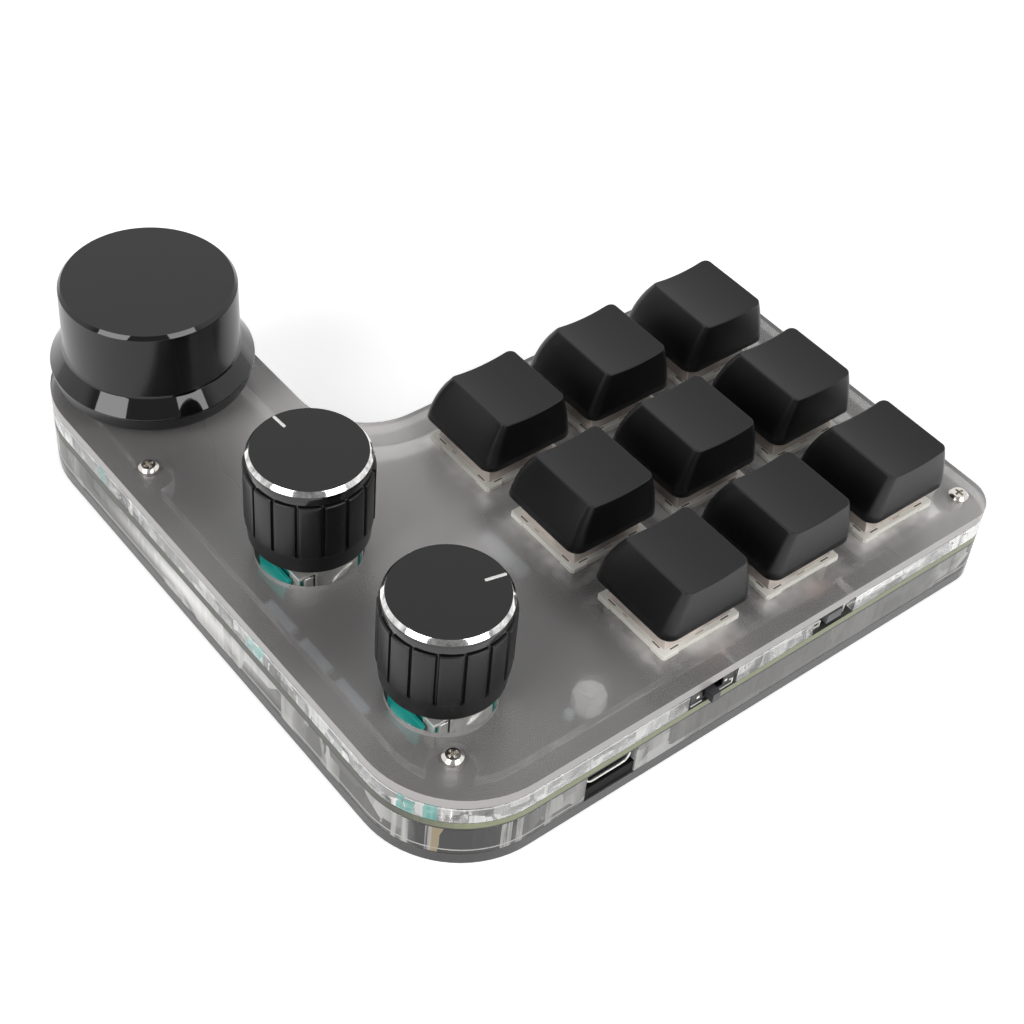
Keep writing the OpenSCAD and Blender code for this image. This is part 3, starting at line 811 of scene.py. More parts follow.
@dataclass(frozen=True)
class Moulded:
    """Moulded plastic with a fine grain and a little unevenness of shade."""

    name: str
    colour: Vec
    roughness: float = 0.45
    spread: float = 0.12
    uneven: float = 0.1
    patches_per_metre: float = 160.0
    grain: float = 0.012 * MM
    grain_per_metre: float = 5200.0
    grain_strength: float = 0.5
    coat: float = 0.0
    coat_roughness: float = 0.05
    ior: float = 1.5

    def build(self) -> Material:
        """Makes the material: noise varies colour and roughness, a finer one bumps the skin.

        Returns:
            The material.
        """
        board = Board(self.name)
        place = board.place()
        patches = board.noise(place, self.patches_per_metre)
        low, high = shades_round(self.colour, self.spread)
        smooth, rough = self.roughness * (1 - self.uneven), self.roughness * (1 + self.uneven)
        board.follow(Base_Color=board.ramp(patches, (0.3, low), (0.7, high)),
                     Roughness=board.span(patches, smooth, rough))
        board.bump(board.noise(place, self.grain_per_metre), self.grain, self.grain_strength)
        board.set(Coat_Weight=self.coat, Coat_Roughness=self.coat_roughness, Coat_IOR=COAT_IOR,
                  IOR=self.ior)
        return board.material


@dataclass(frozen=True)
class Metal:
    """Plated or rolled metal with fine scratches."""

    name: str
    colour: Vec
    roughness: float = 0.25
    scratch: float = 0.004 * MM
    scratches_per_metre: float = 3000.0
    scratch_strength: float = 0.6
    metallic: float = 1.0
    wear_and_dark_reflections: float = 0.82
    wear_per_metre: float = 700.0
    smoothest: float = 0.7
    roughest: float = 1.35

    def build(self) -> Material:
        """Makes the material: a coarse noise for wear, which on the polished bevel also paints dark
        reflection specks, and a fine one for the scratches.

        Returns:
            The material.
        """
        board = Board(self.name)
        board.set(Metallic=self.metallic)
        place = board.place()
        wear = board.noise(place, self.wear_per_metre, 3.0)
        smooth, rough = self.roughness * self.smoothest, self.roughness * self.roughest
        low = shade_of(self.colour, self.wear_and_dark_reflections)
        board.follow(Base_Color=board.ramp(wear, (0.3, low), (0.65, self.colour)),
                     Roughness=board.span(wear, smooth, rough))
        board.bump(board.noise(place, self.scratches_per_metre), self.scratch, self.scratch_strength)
        return board.material


@dataclass(frozen=True)
class SpunFace:
    """A face turned on a lathe: rings round an axis under a dark anodised or lacquered skin."""

    name: str
    centre: Vec
    colour: Vec
    roughness: float = 0.3
    uneven: float = 0.15
    darker: float = 0.8
    ring: float = 0.11 * MM
    depth: float = 0.0012 * MM
    ior: float = 1.45

    def build(self) -> Material:
        """Makes the material: the ring pattern is the noise of the distance from the axis.

        Returns:
            The material.
        """
        board = Board(self.name)
        turns = board.math("DIVIDE", board.distance(self.centre, (1.0, 1.0, 0.0)), self.ring)
        rings = board.noise(turns, 1.0, roughness=0.5, noise_dimensions="1D")
        smooth, rough = self.roughness * (1 - self.uneven), self.roughness * (1 + self.uneven)
        low = shade_of(self.colour, self.darker)
        board.follow(Base_Color=board.ramp(rings, (0.35, low), (0.65, self.colour)),
                     Roughness=board.span(rings, smooth, rough))
        board.bump(rings, self.depth)
        board.set(IOR=self.ior)
        return board.material


@dataclass(frozen=True)
class FrostedSheet:
    """A sheet with a frosted skin: a grey veil over what lies below, pale along its cut edges.

    A spot is x, y and radius in millimetres and the painted light it adds, shade where that is
    negative. A warm spot, which paints rosy light, also has the factor that flattens it along Y.
    """

    name: str
    veil: Vec = (0.215, 0.208, 0.206)
    veil_spread: float = 0.06
    edge: Vec = (0.44, 0.42, 0.415)
    clear: Vec = (0.95, 0.945, 0.94)
    clear_share: float = 0.5
    edge_clear_share: float = 0.25
    roughness: float = 0.34
    body_roughness: float = 0.21
    rough_spread: float = 0.015
    patches_per_metre: float = 60.0
    grain_per_metre: float = 2600.0
    frost_per_metre: float = 9000.0
    frost_depth: float = 0.0015 * MM
    frost_strength: float = 0.3
    lets_in: float = 0.9
    first_key: Pair = (-3.3 * MM, -45.9 * MM)
    pitch: float = 22.0 * MM
    last_key: float = 2.0
    halo_start: float = 7.2 * MM
    halo_reach: float = 4.2 * MM
    halo_shift: float = 0.9 * MM
    halo: float = 0.26
    cloud_per_metre: float = 150.0
    # Painted light on the veil; a negative height paints shade.
    spots: tuple[tuple[float, float, float, float], ...] = (
        (-16, 6, 40, 0.37), (56, -58, 36, 0.21), (-31, 27, 22, 0.1), (-13.6, 12, 9, 0.1),
        (-23.4, -51.1, 4.2, 0.16), (-19.5, -20, 7, 0.14), (-14, -14, 5, -0.12), (-32, -9, 9, 0.06),
        (-48.4, -11, 5, 0.13), (-51.6, -40.5, 4, 0.08), (-37, -46.5, 4, 0.07), (-51, -52.4, 2.6, 0.13))
    glow_tint: Vec = (1.0, 0.975, 0.96)
    # Painted rosy light on the veil.
    warm_spots: tuple[tuple[float, float, float, float, float], ...] = (
        (19.5, -56.2, 5.0, 0.16, 1.7), (-2.5, -56.4, 6.5, 0.09, 1.6))
    warm_tint: Vec = (1.0, 0.62, 0.5)

    def from_key(self, board: Board, value: Socket, first: float) -> Socket:
        """Gives the distance along one axis from the middle of the nearest key, moved by halo_shift.

        Args:
            board: Material that takes the nodes.
            value: Coordinate along the axis.
            first: Middle of the first key on it.

        Returns:
            The distance in metres.
        """
        steps = board.math("DIVIDE", board.math("SUBTRACT", value, first), self.pitch)
        steps = board.math("MAXIMUM", board.math("ROUND", steps), 0.0)
        steps = board.math("MINIMUM", steps, self.last_key)
        middle = board.math("ADD", board.math("MULTIPLY", steps, self.pitch), first - self.halo_shift)
        return board.math("ABSOLUTE", board.math("SUBTRACT", value, middle))

    def glow(self, board: Board) -> Socket:
        """Gives the light painted on the veil where light reaches it from below or from an edge, and
        the shade painted where a spot's height is negative.

        It is the sum of the spots' painted light and shade and of a painted halo of light round each
        switch, which falls with the larger of the two distances from the key's middle and is broken
        up by a noise.

        Args:
            board: Material that takes the nodes.

        Returns:
            The added light.
        """
        x, y, _ = board.axes()
        across = board.math("MAXIMUM", self.from_key(board, x, self.first_key[0]),
                            self.from_key(board, y, self.first_key[1]))
        halo_end = self.halo_start + self.halo_reach
        halo = board.span(across, self.halo, 0.0, self.halo_start, halo_end, smooth=True)
        cloud = board.noise(board.place((0.03, 0.01, 0.0)), self.cloud_per_metre)
        cloud = board.span(cloud, 0.05, 1.5, 0.4, 0.62)
        spots = [board.upright_spot(*spot) for spot in self.spots]
        return board.math("ADD", board.math("MULTIPLY", halo, cloud), *spots)

    def build(self) -> Material:
        """Makes the material: a veil mixed with a rough clear body, both under a fine frost.

        Returns:
            The material.
        """
        board = Board(self.name)
        place = board.place()
        upright = board.upright()
        low, high = shades_round(self.veil, self.veil_spread)
        veil = board.ramp(board.noise(place, self.patches_per_metre), (0.3, low), (0.7, high))
        # Painted light and shade: the glow and the warm light are added to the veil's colour.
        glow = self.glow(board)
        warm = board.math("ADD", *[board.upright_spot(*spot) for spot in self.warm_spots])
        tint = board.add("CombineColor")
        for socket, share, rosy in zip(tint.inputs, self.glow_tint, self.warm_tint):
            board.link(board.math("ADD", board.math("MULTIPLY", glow, share),
                                  board.math("MULTIPLY", warm, rosy)), socket)
        lit = board.add("MixRGB", blend_type="ADD")
        for socket, value in zip(lit.inputs, (1.0, veil, tint.outputs[0])):
            board.feed(socket, value)
        grain = board.noise(place, self.grain_per_metre)
        skin, inside = (board.span(grain, middle - self.rough_spread, middle + self.rough_spread)
                        for middle in (self.roughness, self.body_roughness))
        board.follow(Base_Color=board.mix_colour(upright, lit.outputs[0], self.edge), Roughness=skin)
        board.set(IOR=ACRYLIC_IOR)
        body = board.second_shader(Base_Color=(*self.clear, 1.0), Transmission_Weight=1.0,
                                   IOR=ACRYLIC_IOR)
        board.link(inside, body.inputs["Roughness"])
        frost = board.noise(place, self.frost_per_metre)
        board.bump(frost, self.frost_depth, self.frost_strength)
        share = board.span(upright, self.clear_share, self.edge_clear_share)
        board.finish_clear(board.blend(share, board.shader.outputs[0], body.outputs[0]), self.lets_in)
        return board.material


@dataclass(frozen=True)
class ClearSheet:
    """Clear acrylic whose cut edges carry upright lines and blocks of haze whose bright, dull and
    dark tones are painted light, shade and dark reflections.

    Painted shadows, highlight bands and glints are given by x, y and radius in millimetres.
    """

    name: str
    colour: Vec
    roughness: float = 0.02
    wear_per_metre: float = 300.0
    haze_roughness: float = 0.3
    bright: Vec = (0.85, 0.845, 0.83)
    dull: Vec = (0.2, 0.196, 0.19)
    dark: Vec = (0.02, 0.019, 0.018)
    haze_share: float = 0.45
    least: float = 0.35
    side_share: float = 0.5
    block_per_metre: float = 210.0
    block_height: float = 2.6 * MM
    drift_per_metre: float = 120.0
    tone_weights: Vec = (0.5, 0.2, 0.3)
    line_depth: float = 0.02 * MM
    line_per_metre: float = 900.0
    # Painted highlight line.
    line_z: float = 0.0
    line_half: float = 0.14 * MM
    line_haze: float = 0.45
    groove_strength: float = 0.6
    # Painted highlight streak.
    streak: Vec | None = None
    streak_bright: Vec = (0.8, 0.79, 0.77)
    streak_reach: float = 32.0 * MM
    streak_haze: float = 0.75
    # Painted glints of the coloured parts inside.
    glints: tuple[Vec, ...] = ()
    glint: Vec = (0.07, 0.48, 0.42)
    glint_paint: float = 0.75
    glint_blocks: float = 0.45
    glint_from: float = 0.2
    glint_share: float = 0.45
    # Painted highlight bands.
    highlight_bands: tuple[Vec, ...] = ()
    highlight_band_haze: float = 0.8
    highlight_band_from: float = 0.25
    # Painted shade: an even dull stretch, then painted shadows.
    plain: Pair | None = None
    plain_share: float = 0.85
    shadows: tuple[Vec, ...] = ()
    shadow_share: float = 0.85
    specks: float = 0.0
    specks_per_metre: Vec = (1900.0, 1900.0, 2300.0)
    speck_from: float = 0.72
    speck_patches_per_metre: float = 190.0
    quiet: float = 0.85
    lets_in: float = 0.8
    middle: Vec = (-12.0 * MM, -16.0 * MM, 0.0)

    def outer(self, board: Board) -> Socket:
        """Tells the upright faces that look away from the middle of the case.

        Args:
            board: Material that takes the nodes.

        Returns:
            1 on those faces and 0 elsewhere.
        """
        outwards = board.place(self.middle, (1.0, 1.0, 0.0))
        facing = board.vector("DOT_PRODUCT", outwards, board.normal()).outputs["Value"]
        return board.math("MULTIPLY", board.upright(), board.math("GREATER_THAN", facing, 0.0))

    def blocks(self, board: Board, finer: float, lower: float, shift: Vec = (0, 0, 0)) -> Socket:
        """Gives a field of random blocks, finer and lower by two factors than the sheet's own."""
        level = self.block_per_metre * finer
        return board.cells((level, level, 1.0 / self.block_height * lower), shift)

    def tone(self, board: Board, fine_shade: Socket) -> Socket:
        """Gives the haze's colour: blocks of bright, dull and dark that paint light and shade, then
        painted shadows and bright specks.

        Args:
            board: Material that takes the nodes.
            fine_shade: Field of small random blocks.

        Returns:
            The colour.
        """
        drift = board.noise(board.place(scale=(1.0, 1.0, 0.15)), self.drift_per_metre, 1.0)
        fields = (self.blocks(board, 1.0, 1.0), fine_shade, drift)
        value = board.math("ADD", *[board.math("MULTIPLY", field, weight)
                                    for field, weight in zip(fields, self.tone_weights)])
        # Painted light and shade: bright, dull and dark blocks.
        tone = board.ramp(value, (0.24, self.dark), (0.36, self.dull), (0.5, self.dull),
                          (0.56, self.bright), (0.62, self.dull), (0.7, self.bright),
                          (0.8, self.bright))
        for shadow in self.shadows:
            dim = board.upright_spot(*shadow, self.shadow_share)
            tone = board.mix_colour(board.math("ADD", dim, dim, clamp=True), tone, self.dark)
        # Bright specks mixed into the haze tone.
        if self.specks:
            speck_field = board.cells(self.specks_per_metre, (0.2, 0.5, 0.8))
            speck_field = board.math("GREATER_THAN", speck_field, self.speck_from)
            where = board.noise(board.place((0.02, 0.0, 0.01)), self.speck_patches_per_metre)
            where = board.span(where, 0.0, 1.0, 0.5, 0.62)
            tone = board.mix_colour(board.math("MULTIPLY", speck_field, where, self.specks), tone, self.bright)
        return tone

    def share(self, board: Board, lines: Socket, x: Socket) -> Socket:
        """Gives how much of the haze shows: random by block, more on fine lines and to the left.

        Args:
            board: Material that takes the nodes.
            lines: Field of upright lines.
            x: Coordinate along X.

        Returns:
            The share.
        """
        share = board.span(self.blocks(board, 0.8, 0.4, (0.1, 0.7, 0.4)), self.haze_share * self.least,
                           self.haze_share)
        sideways = board.span(x, self.side_share, 0.0, LEFT_X + 1.0 * MM, LEFT_X + 14.0 * MM, True)
        for more in (board.span(lines, 0.0, 0.35, 0.46, 0.66), sideways):
            share = board.math("ADD", share, board.math("MULTIPLY", more, share))
        return share

    def marks(self, board: Board, lines: Socket, fine_shade: Socket) -> list[Mark]:
        """Gives the painted light and shade that are laid on the haze, in order.

        They are a painted highlight line at one level, an even dull stretch of painted shade along X,
        bright upright bands of painted highlight, a long painted highlight streak, and painted
        coloured glints of the parts that stand inside.

        Args:
            board: Material that takes the nodes.
            lines: Field of upright lines.
            fine_shade: Field of small random blocks.

        Returns:
            Where each mark is from 0 to 1, its colour, how far it covers, and its share of haze.
        """
        marks = []
        x, _, z = board.axes()
        # Painted highlight: a thin bright level line.
        if self.line_z:
            off = board.math("ABSOLUTE", board.math("SUBTRACT", z, self.line_z))
            line = board.math("LESS_THAN", off, self.line_half)
            marks.append((line, self.bright, 1.0, self.line_haze))
        # Painted shade: an even dull stretch along X.
        if self.plain:
            low, high = (end * MM for end in self.plain)
            begins = board.span(x, 0.0, self.plain_share, low, low + 12.0 * MM, smooth=True)
            ends = board.span(x, 1.0, 0.0, high, high + 5.0 * MM, smooth=True)
            marks.append((board.math("MULTIPLY", begins, ends), self.dull, 1.0, 1.0))
        # Painted highlights: bright upright bands.
        for post in self.highlight_bands:
            near = board.math("GREATER_THAN", board.upright_spot(*post), self.highlight_band_from)
            band = board.math("MULTIPLY", near, board.span(lines, 0.1, 1.0, 0.4, 0.6))
            marks.append((band, self.bright, 1.0, self.highlight_band_haze))
        # Painted highlight: a long bright streak.
        if self.streak:
            glow = board.spot(self.streak, self.streak_reach, 1.0, (1.0, 1.0, 9.0))
            marks.append((glow, self.streak_bright, 1.0, self.streak_haze))
        # Painted glints of the coloured parts inside.
        for glint in self.glints:
            near = board.math("MULTIPLY", board.upright_spot(*glint),
                              board.math("LESS_THAN", fine_shade, self.glint_blocks))
            near = board.math("GREATER_THAN", near, self.glint_from)
            marks.append((near, self.glint, self.glint_paint, self.glint_share))
        return marks

    def build(self) -> Material:
        """Makes the material: haze of many shades clouds the upright faces that look outwards.

        The walls that look inwards let rays pass by the share quiet, so that no bright line of
        theirs shows through the frosted plate.

        Returns:
            The material.
        """
        board = Board(self.name)
        outer = self.outer(board)
        board.set(Base_Color=(*self.colour, 1.0), Transmission_Weight=1.0, IOR=ACRYLIC_IOR)
        wear = board.noise(board.place(), self.wear_per_metre)
        board.follow(Roughness=board.span(wear, self.roughness * 0.6, self.roughness * 1.6))
        haze = board.second_shader(Roughness=self.haze_roughness, IOR=ACRYLIC_IOR)
        fine_shade = self.blocks(board, 3.1, 0.6, (0.3, 0.1, 0.2))
        along = board.place((0.01, 0.02, 0.0), (1.0, 1.0, 0.05))
        lines = board.noise(along, self.line_per_metre, 3.0, 0.6)
        tone = self.tone(board, fine_shade)
        share = board.math("MULTIPLY", self.share(board, lines, board.axes()[0]), outer, clamp=True)
        for where, colour, cover, amount in self.marks(board, lines, fine_shade):
            near = board.math("MULTIPLY", where, outer)
            tone = board.mix_colour(board.math("MULTIPLY", near, cover), tone, colour)
            share = board.math("MAXIMUM", share, board.math("MULTIPLY", near, amount))
        board.link(tone, haze.inputs["Base Color"])
        grooves = board.noise(board.place(scale=(1.0, 1.0, 0.06)), self.line_per_metre, 3.0, 0.6)
        board.bump(grooves, self.line_depth, self.groove_strength)
        mixed = board.blend(share, board.shader.outputs[0], haze.outputs[0])
        inner = board.math("SUBTRACT", board.upright(), outer, clamp=True)
        mixed = board.blend(board.math("MULTIPLY", inner, self.quiet), mixed,
                            board.add("BsdfTransparent").outputs[0])
        board.finish_clear(mixed, self.lets_in)
        return board.material


@dataclass(frozen=True)
class SmokySheet:
    """Smoky acrylic: a dark body under a polished skin."""

    name: str
    colour: Vec
    clear: Vec = (0.4, 0.38, 0.38)
    clear_share: float = 0.2
    roughness: float = 0.1
    darker: float = 0.8
    streaks_per_metre: float = 260.0
    ripples_per_metre: float = 1500.0
    ripple: float = 0.01 * MM
    lets_in: float = 0.4

    def build(self) -> Material:
        """Makes the material: a grey body mixed with a tinted clear one.

        Returns:
            The material.
        """
        board = Board(self.name)
        streaks = board.noise(board.place(scale=(1.0, 1.0, 0.1)), self.streaks_per_metre)
        rough = board.span(streaks, self.roughness, self.roughness * 2.0)
        low = shade_of(self.colour, self.darker)
        board.follow(Base_Color=board.ramp(streaks, (0.35, low), (0.65, self.colour)), Roughness=rough)
        board.set(IOR=ACRYLIC_IOR)
        body = board.second_shader(Base_Color=(*self.clear, 1.0), Transmission_Weight=1.0,
                                   IOR=ACRYLIC_IOR)
        board.link(rough, body.inputs["Roughness"])
        board.bump(board.noise(board.place(), self.ripples_per_metre), self.ripple, 0.4)
        mixed = board.blend(self.clear_share, board.shader.outputs[0], body.outputs[0])
        board.finish_clear(mixed, self.lets_in)
        return board.material


@dataclass(frozen=True)
class CircuitBoard:
    """Glass-fibre board: dark mask above and below, olive laminate along the cut edge."""

    name: str = "circuit_board_laminate"
    mask: Vec = (0.035, 0.036, 0.034)
    edge: Vec = (0.25, 0.27, 0.15)
    under_edge: Vec = (0.03, 0.03, 0.028)
    dark_line: float = 0.35 * MM
    roughness: float = 0.4
    fibres_per_metre: float = 1500.0
    fibre_depth: float = 0.01 * MM

    def build(self) -> Material:
        """Makes the material: the normal chooses mask or edge, dark at its foot, and darker on edges
        that face left as painted shade.

        Returns:
            The material.
        """
        board = Board(self.name)
        fibres = board.noise(board.place(scale=(1, 1, 6)), self.fibres_per_metre, 3.0)
        cut = board.ramp(fibres, (0.3, shade_of(self.edge, 0.7)), (0.7, self.edge))
        at_foot = board.math("LESS_THAN", board.axes()[2], BOARD_Z + self.dark_line)
        # Painted shade on cut edges that face left.
        shaded_left = board.span(board.split(board.normal())[0], 0.85, 0.0, -0.95, -0.55)
        for share in (at_foot, shaded_left):
            cut = board.mix_colour(share, cut, self.under_edge)
        board.follow(Base_Color=board.mix_colour(board.upright(), self.mask, cut))
        board.bump(fibres, self.fibre_depth, 0.4)
        board.set(Roughness=self.roughness)
        return board.material


# ---------------------------------------------------------------------------------------------
# Sub-assemblies
# ---------------------------------------------------------------------------------------------


@dataclass
class Case:
    """The stack of sheets with its circuit board and fasteners."""

    edge_rounding: float = 0.09 * MM
    air_gap: float = 0.03 * MM

    def upper_acrylic(self) -> Material:
        """Makes the acrylic of the frame above the board, with painted teal glints and a painted
        highlight line.

        Returns:
            The material.
        """
        left = LEFT_X / MM
        return ClearSheet(
            "clear_acrylic", (0.95, 0.96, 0.955), line_z=UPPER_Z + 3.2 * MM, specks=0.5,
            glints=((left, 31.4, 4), (left, -13.5, 3.6), (-56.6, -51, 5.6))).build()

    def lower_acrylic(self) -> Material:
        """Makes the acrylic of the frame below the board, whose darker tones paint the shade inside
        it and whose glint paints the brass standoff seen through it.

        Returns:
            The material.
        """
        front = FRONT_Y / MM
        return ClearSheet(
            # Painted shade: dark haze tones.
            "clear_acrylic_lower", (0.8, 0.8, 0.795), bright=(0.42, 0.415, 0.4),
            dull=(0.08, 0.078, 0.073), dark=(0.014, 0.013, 0.013), haze_share=0.88, least=0.85,
            side_share=0.15,
            # Painted shadow at the front left corner.
            shadows=((-52.5, -57, 14),), shadow_share=0.9,
            highlight_bands=((-57.7, -49.7, 2.2), (-55.4, -53.7, 0.8), (-45.7, -59.9, 1.3), (-43.5, -60.3, 0.8),
                   (-38, front, 1.0), (-17, front, 0.9)),
            # Painted brass glint of the standoff seen through the corner.
            plain=(-16, 44), glint=(0.34, 0.27, 0.16), glint_share=0.5, glints=((-53.9, -55.3, 2.6),),
            block_per_metre=100.0, block_height=9.0 * MM, line_depth=0.004 * MM,
            line_z=LOWER_Z + 0.95 * MM, streak=(LEFT_X, 6 * MM, LOWER_Z + 4.0 * MM)).build()

    def build(self) -> None:
        """Rounds the edges of each layer and fastener and dresses it."""
        layers = {"top_plate": FrostedSheet("frosted_acrylic").build(),
                  "upper_frame": self.upper_acrylic(), "lower_frame": self.lower_acrylic(),
                  "bottom_plate": SmokySheet("smoky_acrylic", (0.043, 0.04, 0.04)).build(),
                  "circuit_board": CircuitBoard().build()}
        for node, material in layers.items():
            piece = softened(node, self.edge_rounding, material, squeeze=self.air_gap)
            LOG.info("layer %s", piece.name)
        nickel = Metal("nickel_plate", (0.78, 0.75, 0.7), 0.18).build()
        brass = Metal("turned_brass", (0.72, 0.52, 0.24), 0.25).build()
        rubber = Moulded("foot_rubber", (0.02, 0.02, 0.02), 0.8).build()
        for node, material, rounding in (("top_screws", nickel, 0.12), ("bottom_screws", nickel, 0.05),
                                         ("standoffs", brass, 0.12), ("feet", rubber, 0.15)):
            piece = softened(node, rounding * MM, material)
            LOG.info("fastener %s", piece.name)


@dataclass
class Keycap:
    """One keycap: leaning walls, round upright corners and a hollow across its top."""

    number: int
    base_half: float = 9.0 * MM
    base_z: float = 5.4 * MM
    height: float = 9.4 * MM
    top_half_x: float = 6.4 * MM
    front_lean: float = 0.2 * MM
    rear_lean: float = 3.4 * MM
    dish: float = 0.7 * MM
    corner_base: float = 2.2 * MM
    corner_top: float = 1.2 * MM
    edge: float = 0.2 * MM
    bulge: float = 0.3 * MM
    rear_bulge: float = 0.55 * MM
    wall: float = 1.5 * MM
    roof: float = 1.9 * MM
    wall_growth: float = 0.3 * MM
    post_foot: float = 6.95 * MM
    post_top: float = 12.4 * MM
    post_radius: float = 2.7 * MM
    wall_rows: int = 8
    edge_rows: int = 6
    roof_rows: int = 9

    @property
    def centre(self) -> np.ndarray:
        """Foot of the key's axis on the plate's top."""
        return foot_of(f"keycap_{self.number}")

    def sections(self) -> np.ndarray:
        """Gives the cap's skin from the middle of its top, over the rim, to the roof inside.

        A section's size falls from base to top along a flat arch. Its height follows
        z = base + (top(x) - base) t, where top(x) = top - dish (1 - (x / half width)^2). Near
        the top edge a quarter circle draws the section in and down, with a close row on each
        side that keeps the edge crisp. Above it the sections shrink to the middle. Inside, the
        same sections are drawn in by the wall.

        Returns:
            A (rows, columns, 3) grid in the key's own frame.
        """
        climb = np.append(np.linspace(0.0, 0.94, self.wall_rows - 1), [0.985, 1.0])
        bend = np.linspace(0.0, math.pi / 2, self.edge_rows)
        shrink = np.append([1.0, 0.985], np.linspace(0.92, 0.0, self.roof_rows - 1))
        shoulder = 1.0 - self.edge / self.height
        outer = [self.row(t * shoulder, 0.0, 1.0) for t in climb]
        outer += [self.row(shoulder + (1 - shoulder) * math.sin(a),
                           self.edge * (1 - math.cos(a)), 1.0) for a in bend[1:]]
        outer += [self.row(1.0, self.edge, share) for share in shrink[1:]]
        roof_t = 1.0 - (self.dish + self.roof) / self.height
        inner = [self.row(t, self.wall + self.wall_growth * t, 1.0, hollow=True)
                 for t in np.linspace(0.0, roof_t, self.wall_rows)]
        inner += [self.row(roof_t, self.wall + self.wall_growth * roof_t, share, hollow=True)
                  for share in shrink[1:]]
        return np.stack(outer[::-1] + inner)

    def row(self, t: float, inset: float, share: float, hollow: bool = False) -> np.ndarray:
        """Gives one section of the cap.

        Args:
            t: Height from 0 at the base to 1 at the top.
            inset: Distance that the section is drawn in by.
            share: Factor that shrinks the section to its middle.
            hollow: Whether the section is inside the cap, where the roof is level.

        Returns:
            (columns, 3) points.
        """
        swell = 4.0 * t * (1.0 - t)
        half_x = self.base_half + (self.top_half_x - self.base_half) * t + self.bulge * swell
        front = -self.base_half + self.front_lean * t
        rear = self.base_half - self.rear_lean * t + self.rear_bulge * swell
        half_y, middle = (rear - front) / 2, (rear + front) / 2
        corner = self.corner_base + (self.corner_top - self.corner_base) * t
        flat = rounded_rectangle(np.array([half_x - inset]), np.array([half_y - inset]),
                                 np.array([max(corner - inset / 2, 0.3 * MM)]))[0] * share
        across = np.clip(np.abs(flat[:, 0]) / self.top_half_x, 0.0, 1.0)
        drop = 0.0 if hollow else self.dish * (1 - across**2)
        z = self.base_z + (self.height - drop) * t
        return np.column_stack([flat[:, 0], flat[:, 1] + middle, z + 0.0 * flat[:, 0]])

    def post(self) -> np.ndarray:
        """Gives the post that takes the stem, a closed lathe shape under the roof.

        Returns:
            A (rows, columns, 3) grid in the key's own frame.
        """
        foot, top, radius = self.post_foot, self.post_top, self.post_radius
        corners = [(0, foot, 0), (radius, foot, 0.2 * MM), (radius, top, 0), (0, top, 0)]
        profile = rounded_profile(corners)
        return lathe(profile, np.zeros(3), round_turns(32))

    def build(self, material: Material) -> None:
        """Makes the cap and dresses it.

        Args:
            material: Its plastic.
        """
        name = f"keycap_{self.number}_moulding"
        shell = grid_piece(name, self.sections() + self.centre)
        post = grid_piece(name + "_post", self.post() + self.centre)
        shade_by_angle(post)
        piece = join(name, [shell, post])
        dress(piece, material)
        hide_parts(f"keycap_{self.number}")
        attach(piece, f"key_{self.number}")


@dataclass
class Keys:
    """Nine keys: caps, stems, springs and the clear housings around them."""

    count: int = 9
    travel: float = 4.0 * MM
    tab_sides: Pair = (7.7, 8.05)
    tab_along: Pair = (4.9, 7.75)
    tab_rise: Pair = (0.05, 0.93)
    rail: Pair = (7.12, 7.36)
    slot_along: Pair = (4.4, 6.1)
    slot_rise: Pair = (0.9, 1.03)
    clip_rise: Pair = (0.9, 1.06)

    def build(self) -> None:
        """Makes the caps and springs and dresses the switches."""
        cap_plastic = Moulded("cap_plastic", (0.003, 0.003, 0.0038), 0.4, grain=0.012 * MM,
                              grain_per_metre=3800.0, ior=1.42).build()
        stem_plastic = Moulded("stem_plastic", (0.16, 0.035, 0.022), 0.4).build()
        spring_steel = Metal("spring_steel", (0.6, 0.59, 0.57), 0.3).build()
        milky = Moulded("milky_housing", (0.83, 0.81, 0.745), 0.35, spread=0.04).build()
        clear = Moulded("pale_housing", (0.52, 0.455, 0.415), 0.2, spread=0.35).build()
        for number in range(1, self.count + 1):
            Keycap(number).build(cap_plastic)
            softened(f"stem_{number}", 0.08 * MM, stem_plastic)
            self.spring(number, spring_steel)
            LOG.info("key %d", number)
        softened("switch_bottoms", 0.12 * MM, milky)
        self.flange_details(milky)
        softened("switch_tops", 0.15 * MM, clear)

    def spring(self, number: int, steel: Material) -> None:
        """Copies a key's spring in steel, with a mesh of its own.

        Args:
            number: Number of the key.
            steel: Its wire.
        """
        node = f"spring_{number}"
        coil = softened(node, 0.0, steel, name=node + "_coil")
        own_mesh(coil)

    def flange_details(self, milky: Material) -> None:
        """Adds what each switch's flange carries: end tabs, dark brown boxes that paint the shade in
        its clip slots, and clips by the housing.

        The tabs stand out of both ends of each side, so that its middle looks set in. Each box
        of a corner comes twice, with X and Y changed over.

        Args:
            milky: Plastic of the flange.
        """
        tabs, slots, clips = [], [], []
        for number in range(1, self.count + 1):
            box = partial(box_from, Keycap(number).centre)
            for side in (-1, 1):
                out, rail = (sorted(side * end for end in ends) for ends in (self.tab_sides, self.rail))
                for end in (-1, 1):
                    along, slot = (sorted(end * reach for reach in ends)
                                   for ends in (self.tab_along, self.slot_along))
                    tabs += [box(out, along, self.tab_rise), box(along, out, self.tab_rise)]
                    slots += [box(slot, rail, self.slot_rise), box(rail, slot, self.slot_rise)]
                clips += [box((-0.8, 0.8), rail, self.clip_rise), box(rail, (1.6, 2.6), self.clip_rise)]
        small_boxes("flange_tabs", tabs, 0.12 * MM, milky)
        # Painted shade: dark brown boxes in the clip slots.
        brown = Moulded("slot_shade_brown", (0.1, 0.06, 0.045), 0.4).build()
        small_boxes("flange_slot_shades", slots, 0.03 * MM, brown)
        pink = Moulded("clip_pink", (0.55, 0.42, 0.36), 0.4).build()
        small_boxes("flange_clips", clips, 0.04 * MM, pink)


